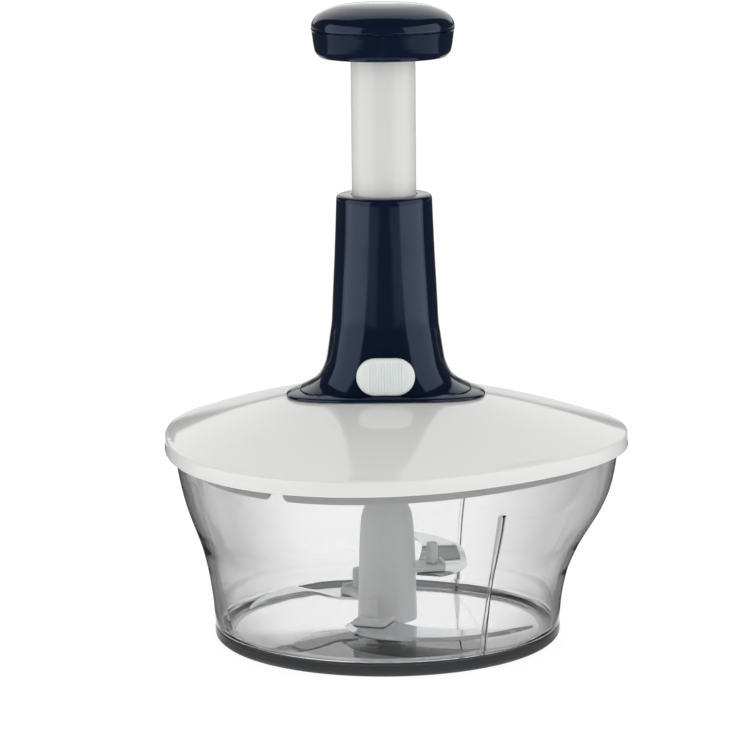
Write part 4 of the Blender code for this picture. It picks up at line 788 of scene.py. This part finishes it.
# Lock button: a satin off-white slide on the tower's front, moulded with fine upright ribs for the
# thumb. Its stem passes through the tower's slot to the catch inside.
off_white_abs = plastic("off-white ABS, satin", "#e9eeec", 0.38, bump_scale=900.0)
half_height = 8.3 * mm
straight = 12.9 * mm - half_height
button_ring = []
for side, start in ((1, -90), (-1, 90)):
    for k in range(25):
        angle = math.radians(start + 180 * k / 24)
        button_ring.append((side * straight + half_height * math.cos(angle), half_height * math.sin(angle)))
rings = []
button_rows = (
    # depth in front of the axis, and how far the outline shrinks there, in mm
    (29.4, 3.2), (29.35, 2.0), (29.15, 1.1), (28.8, 0.5), (28.3, 0.12), (27.8, 0.0), (26.8, 0.0), (26.5, 0.3),
)
for depth, shrink in button_rows:
    share = 1 - shrink * mm / half_height
    rings.append([Vector((x - math.copysign(min(abs(x), shrink * mm), x) if abs(x) > straight else x, -depth * mm,
                          lock_height + z * share)) for x, z in button_ring])
button = skin("thumb_slide", rings, off_white_abs, sharp=35)


def rib_tree():
    """Rows of like ribs: short rounded bars, set side by side at a pitch and made real."""
    group = bpy.data.node_groups.new("thumb ribs", "GeometryNodeTree")
    face = group.interface
    face.new_socket("Geometry", in_out="INPUT", socket_type="NodeSocketGeometry")
    for label, kind in (("Count", "Int"), ("Pitch", "Float"), ("Width", "Float"), ("Height", "Float"),
                        ("Material", "Material")):
        face.new_socket(label, in_out="INPUT", socket_type="NodeSocket" + kind)
    face.new_socket("Geometry", in_out="OUTPUT", socket_type="NodeSocketGeometry")
    given = node(group, "NodeGroupInput", {}).outputs
    gaps = node(group, "ShaderNodeMath", {"operation": "SUBTRACT", 0: given["Count"], 1: 1.0}).outputs[0]
    start = node(group, "ShaderNodeMath", {"operation": "MULTIPLY", 0: gaps, 1: given["Pitch"]}).outputs[0]
    start = node(group, "ShaderNodeMath", {"operation": "MULTIPLY", 0: start, 1: -0.5}).outputs[0]
    first = node(group, "ShaderNodeCombineXYZ", {0: start}).outputs[0]
    step = node(group, "ShaderNodeCombineXYZ", {0: given["Pitch"]}).outputs[0]
    places = node(group, "GeometryNodeMeshLine", {
        "mode": "OFFSET", "Count": given["Count"], "Start Location": first, "Offset": step}).outputs[0]
    tall = node(group, "ShaderNodeMath", {"operation": "MULTIPLY", 0: given["Height"], 1: 0.5}).outputs[0]
    low = node(group, "ShaderNodeMath", {"operation": "MULTIPLY", 0: tall, 1: -1.0}).outputs[0]
    spine = node(group, "GeometryNodeCurvePrimitiveLine", {
        "Start": node(group, "ShaderNodeCombineXYZ", {2: low}).outputs[0],
        "End": node(group, "ShaderNodeCombineXYZ", {2: tall}).outputs[0]}).outputs[0]
    half = node(group, "ShaderNodeMath", {"operation": "MULTIPLY", 0: given["Width"], 1: 0.5}).outputs[0]
    round_off = node(group, "GeometryNodeCurvePrimitiveCircle", {"Resolution": 10, "Radius": half}).outputs[0]
    bar = node(group, "GeometryNodeCurveToMesh", {
        "Curve": spine, "Profile Curve": round_off, "Fill Caps": True}).outputs[0]
    ribs = node(group, "GeometryNodeInstanceOnPoints", {"Points": places, "Instance": bar}).outputs[0]
    real = node(group, "GeometryNodeRealizeInstances", {"Geometry": ribs}).outputs[0]
    painted = node(group, "GeometryNodeSetMaterial", {"Geometry": real, "Material": given["Material"]})
    node(group, "NodeGroupOutput", {"Geometry": painted.outputs[0]})
    return group


thumb_ribs = new_object("thumb_ribs", bpy.data.meshes.new("thumb_ribs"))
step = thumb_ribs.modifiers.new("ribs", "NODES")
step.node_group = rib_tree()
for label, value in (("Count", 13), ("Pitch", 1.25 * mm), ("Width", 0.8 * mm), ("Height", 12.6 * mm),
                     ("Material", off_white_abs)):
    set_input(step, label, value)
made_real("thumb_ribs", thumb_ribs, off_white_abs, 40)
thumb_ribs.data.transform(Matrix.Translation((0, -29.4 * mm, lock_height)))
join_on(button, thumb_ribs)
stem_outline = ((-4, -2.5), (4, -2.5), (4, 2.5), (-4, 2.5))
stem = skin("stem", [[Vector((x * mm, y * mm, lock_height + z * mm)) for x, z in stem_outline]
                     for y in (-28.0, -22.9)], off_white_abs)
join_on(button, stem)
button.data.shade_smooth()
button.data.set_sharp_from_angle(angle=math.radians(35))
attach(button, "lock")
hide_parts("lock_button")


# Plunger and knob: a white ABS tube with a two-part navy knob screwed to its top. The twisted rod
# hangs inside it, within the return spring.
# The tube's white ABS is a little greyer than the lid's. This is partly its own moulding's tone and partly painted
# shade that keeps the upright tube darker than the lid.
sleeve_abs_painted_shade = plastic("white ABS, satin", "#dadad8", 0.22, bump_scale=120.0, bump_strength=0.03)
tube = turned("plunger_sleeve", rounded([
    (13.3 * mm, 264.0 * mm, 0), (14.3 * mm, 264.0 * mm, 0.3 * mm), (14.3 * mm, 170.5 * mm, 0.2 * mm),
    (16.4 * mm, 170.5 * mm, 0.3 * mm), (16.4 * mm, 168.0 * mm, 0.3 * mm), (12.3 * mm, 168.0 * mm, 0.3 * mm),
    (12.3 * mm, 264.0 * mm, 0.3 * mm), (13.3 * mm, 264.0 * mm, 0),
]), sleeve_abs_painted_shade, closed=True)
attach(tube, "plunger")
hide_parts("plunger_tube")
finish_node("knob_screw", stainless)
finish_node("drive_rod", stainless)


# Return spring: round steel wire wound in 20 open turns, its end turns closed and seated. It stands on the
# drive's housing inside the tube, and the knob presses it shorter.
wire = 1.3 * mm
coil_radius = 8.9 * mm
turns = 20
seat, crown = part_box("return_spring")[0][2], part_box("return_spring")[1][2]
climb = crown - seat - wire
end_share = 1.9 * mm / climb
rings = []
for k in range(turns * 28 + 1):
    turn = k / 28
    share = end_share + (1 - 2 * end_share) * (turn - 1) / (turns - 2)
    share = min(max(share, end_share * min(turn, 1.0)), 1 - end_share * min(turns - turn, 1.0))
    core = polar(coil_radius, math.tau * turn, seat + wire / 2 + share * climb)
    outward = polar(wire / 2, math.tau * turn)
    rings.append([core + outward * math.cos(math.tau * a / 10) + Vector((0, 0, wire / 2 * math.sin(math.tau * a / 10)))
                  for a in range(10)])
spring = skin("coil_spring", rings, stainless)
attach(spring, "lid")
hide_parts("return_spring")
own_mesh(spring)


knob_radius = 31.7 * mm
parting = 271.5 * mm
cap_rows = (
    (0.0, 1.0), (0.16, 1.0), (0.32, 0.99), (0.60, 0.92), (0.80, 0.77), (0.92, 0.60), (0.985, 0.38), (1.0, 0.18),
    (1.0, 0.03),
)
seam = parting + 1.7 * mm
cap_profile = [(r * knob_radius, 0.0, parting + h * 13.5 * mm) for r, h in smooth(cap_rows, 5)
               if parting + h * 13.5 * mm > seam + 0.3 * mm]
cap_profile += [(31.65 * mm, 0.0, seam + 0.2 * mm), (31.4 * mm, 0.0, seam), (29.5 * mm, 0.0, seam),
                (29.3 * mm, 0.0, parting + 4 * mm), (24.0 * mm, 0.0, 280.0 * mm), (0.0, 0.0, 282.8 * mm)]
cap = turned("knob_dome", cap_profile, navy_abs)
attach(cap, "plunger")
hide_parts("knob_cap")
base_rows = ((0.985, 1.0), (0.975, 0.75), (0.963, 0.5), (0.945, 0.27), (0.905, 0.1), (0.85, 0.0), (0.70, 0.0))
base_profile = [(31.2 * mm, 0.0, seam - 0.3 * mm), (31.45 * mm, 0.0, seam - 0.55 * mm)]
base_profile += [(r * knob_radius, 0.0, 261.0 * mm + h * 10.2 * mm) for r, h in smooth(base_rows, 5)]
base_profile += rounded([
    (20 * mm, 261.0 * mm, 0), (14.6 * mm, 261.0 * mm, 0.4 * mm), (14.6 * mm, 264.3 * mm, 0.1 * mm),
    (12.0 * mm, 264.3 * mm, 0.1 * mm), (12.0 * mm, 258.8 * mm, 0.3 * mm), (4.83 * mm, 258.8 * mm, 0.2 * mm),
    (4.83 * mm, 266.3 * mm, 0.1 * mm), (1.7 * mm, 266.3 * mm, 0.1 * mm), (1.7 * mm, 268.7 * mm, 0.1 * mm),
    (7.0 * mm, 268.7 * mm, 0.3 * mm), (7.0 * mm, 266.5 * mm, 0.3 * mm), (24.6 * mm, 266.5 * mm, 0.5 * mm),
    (29.0 * mm, 268.7 * mm, 0.5 * mm), (29.0 * mm, seam - 0.3 * mm, 0.1 * mm), (31.2 * mm, seam - 0.3 * mm, 0),
])
grip = turned("knob_bowl", base_profile, navy_abs, closed=True)
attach(grip, "plunger")
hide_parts("knob_base")
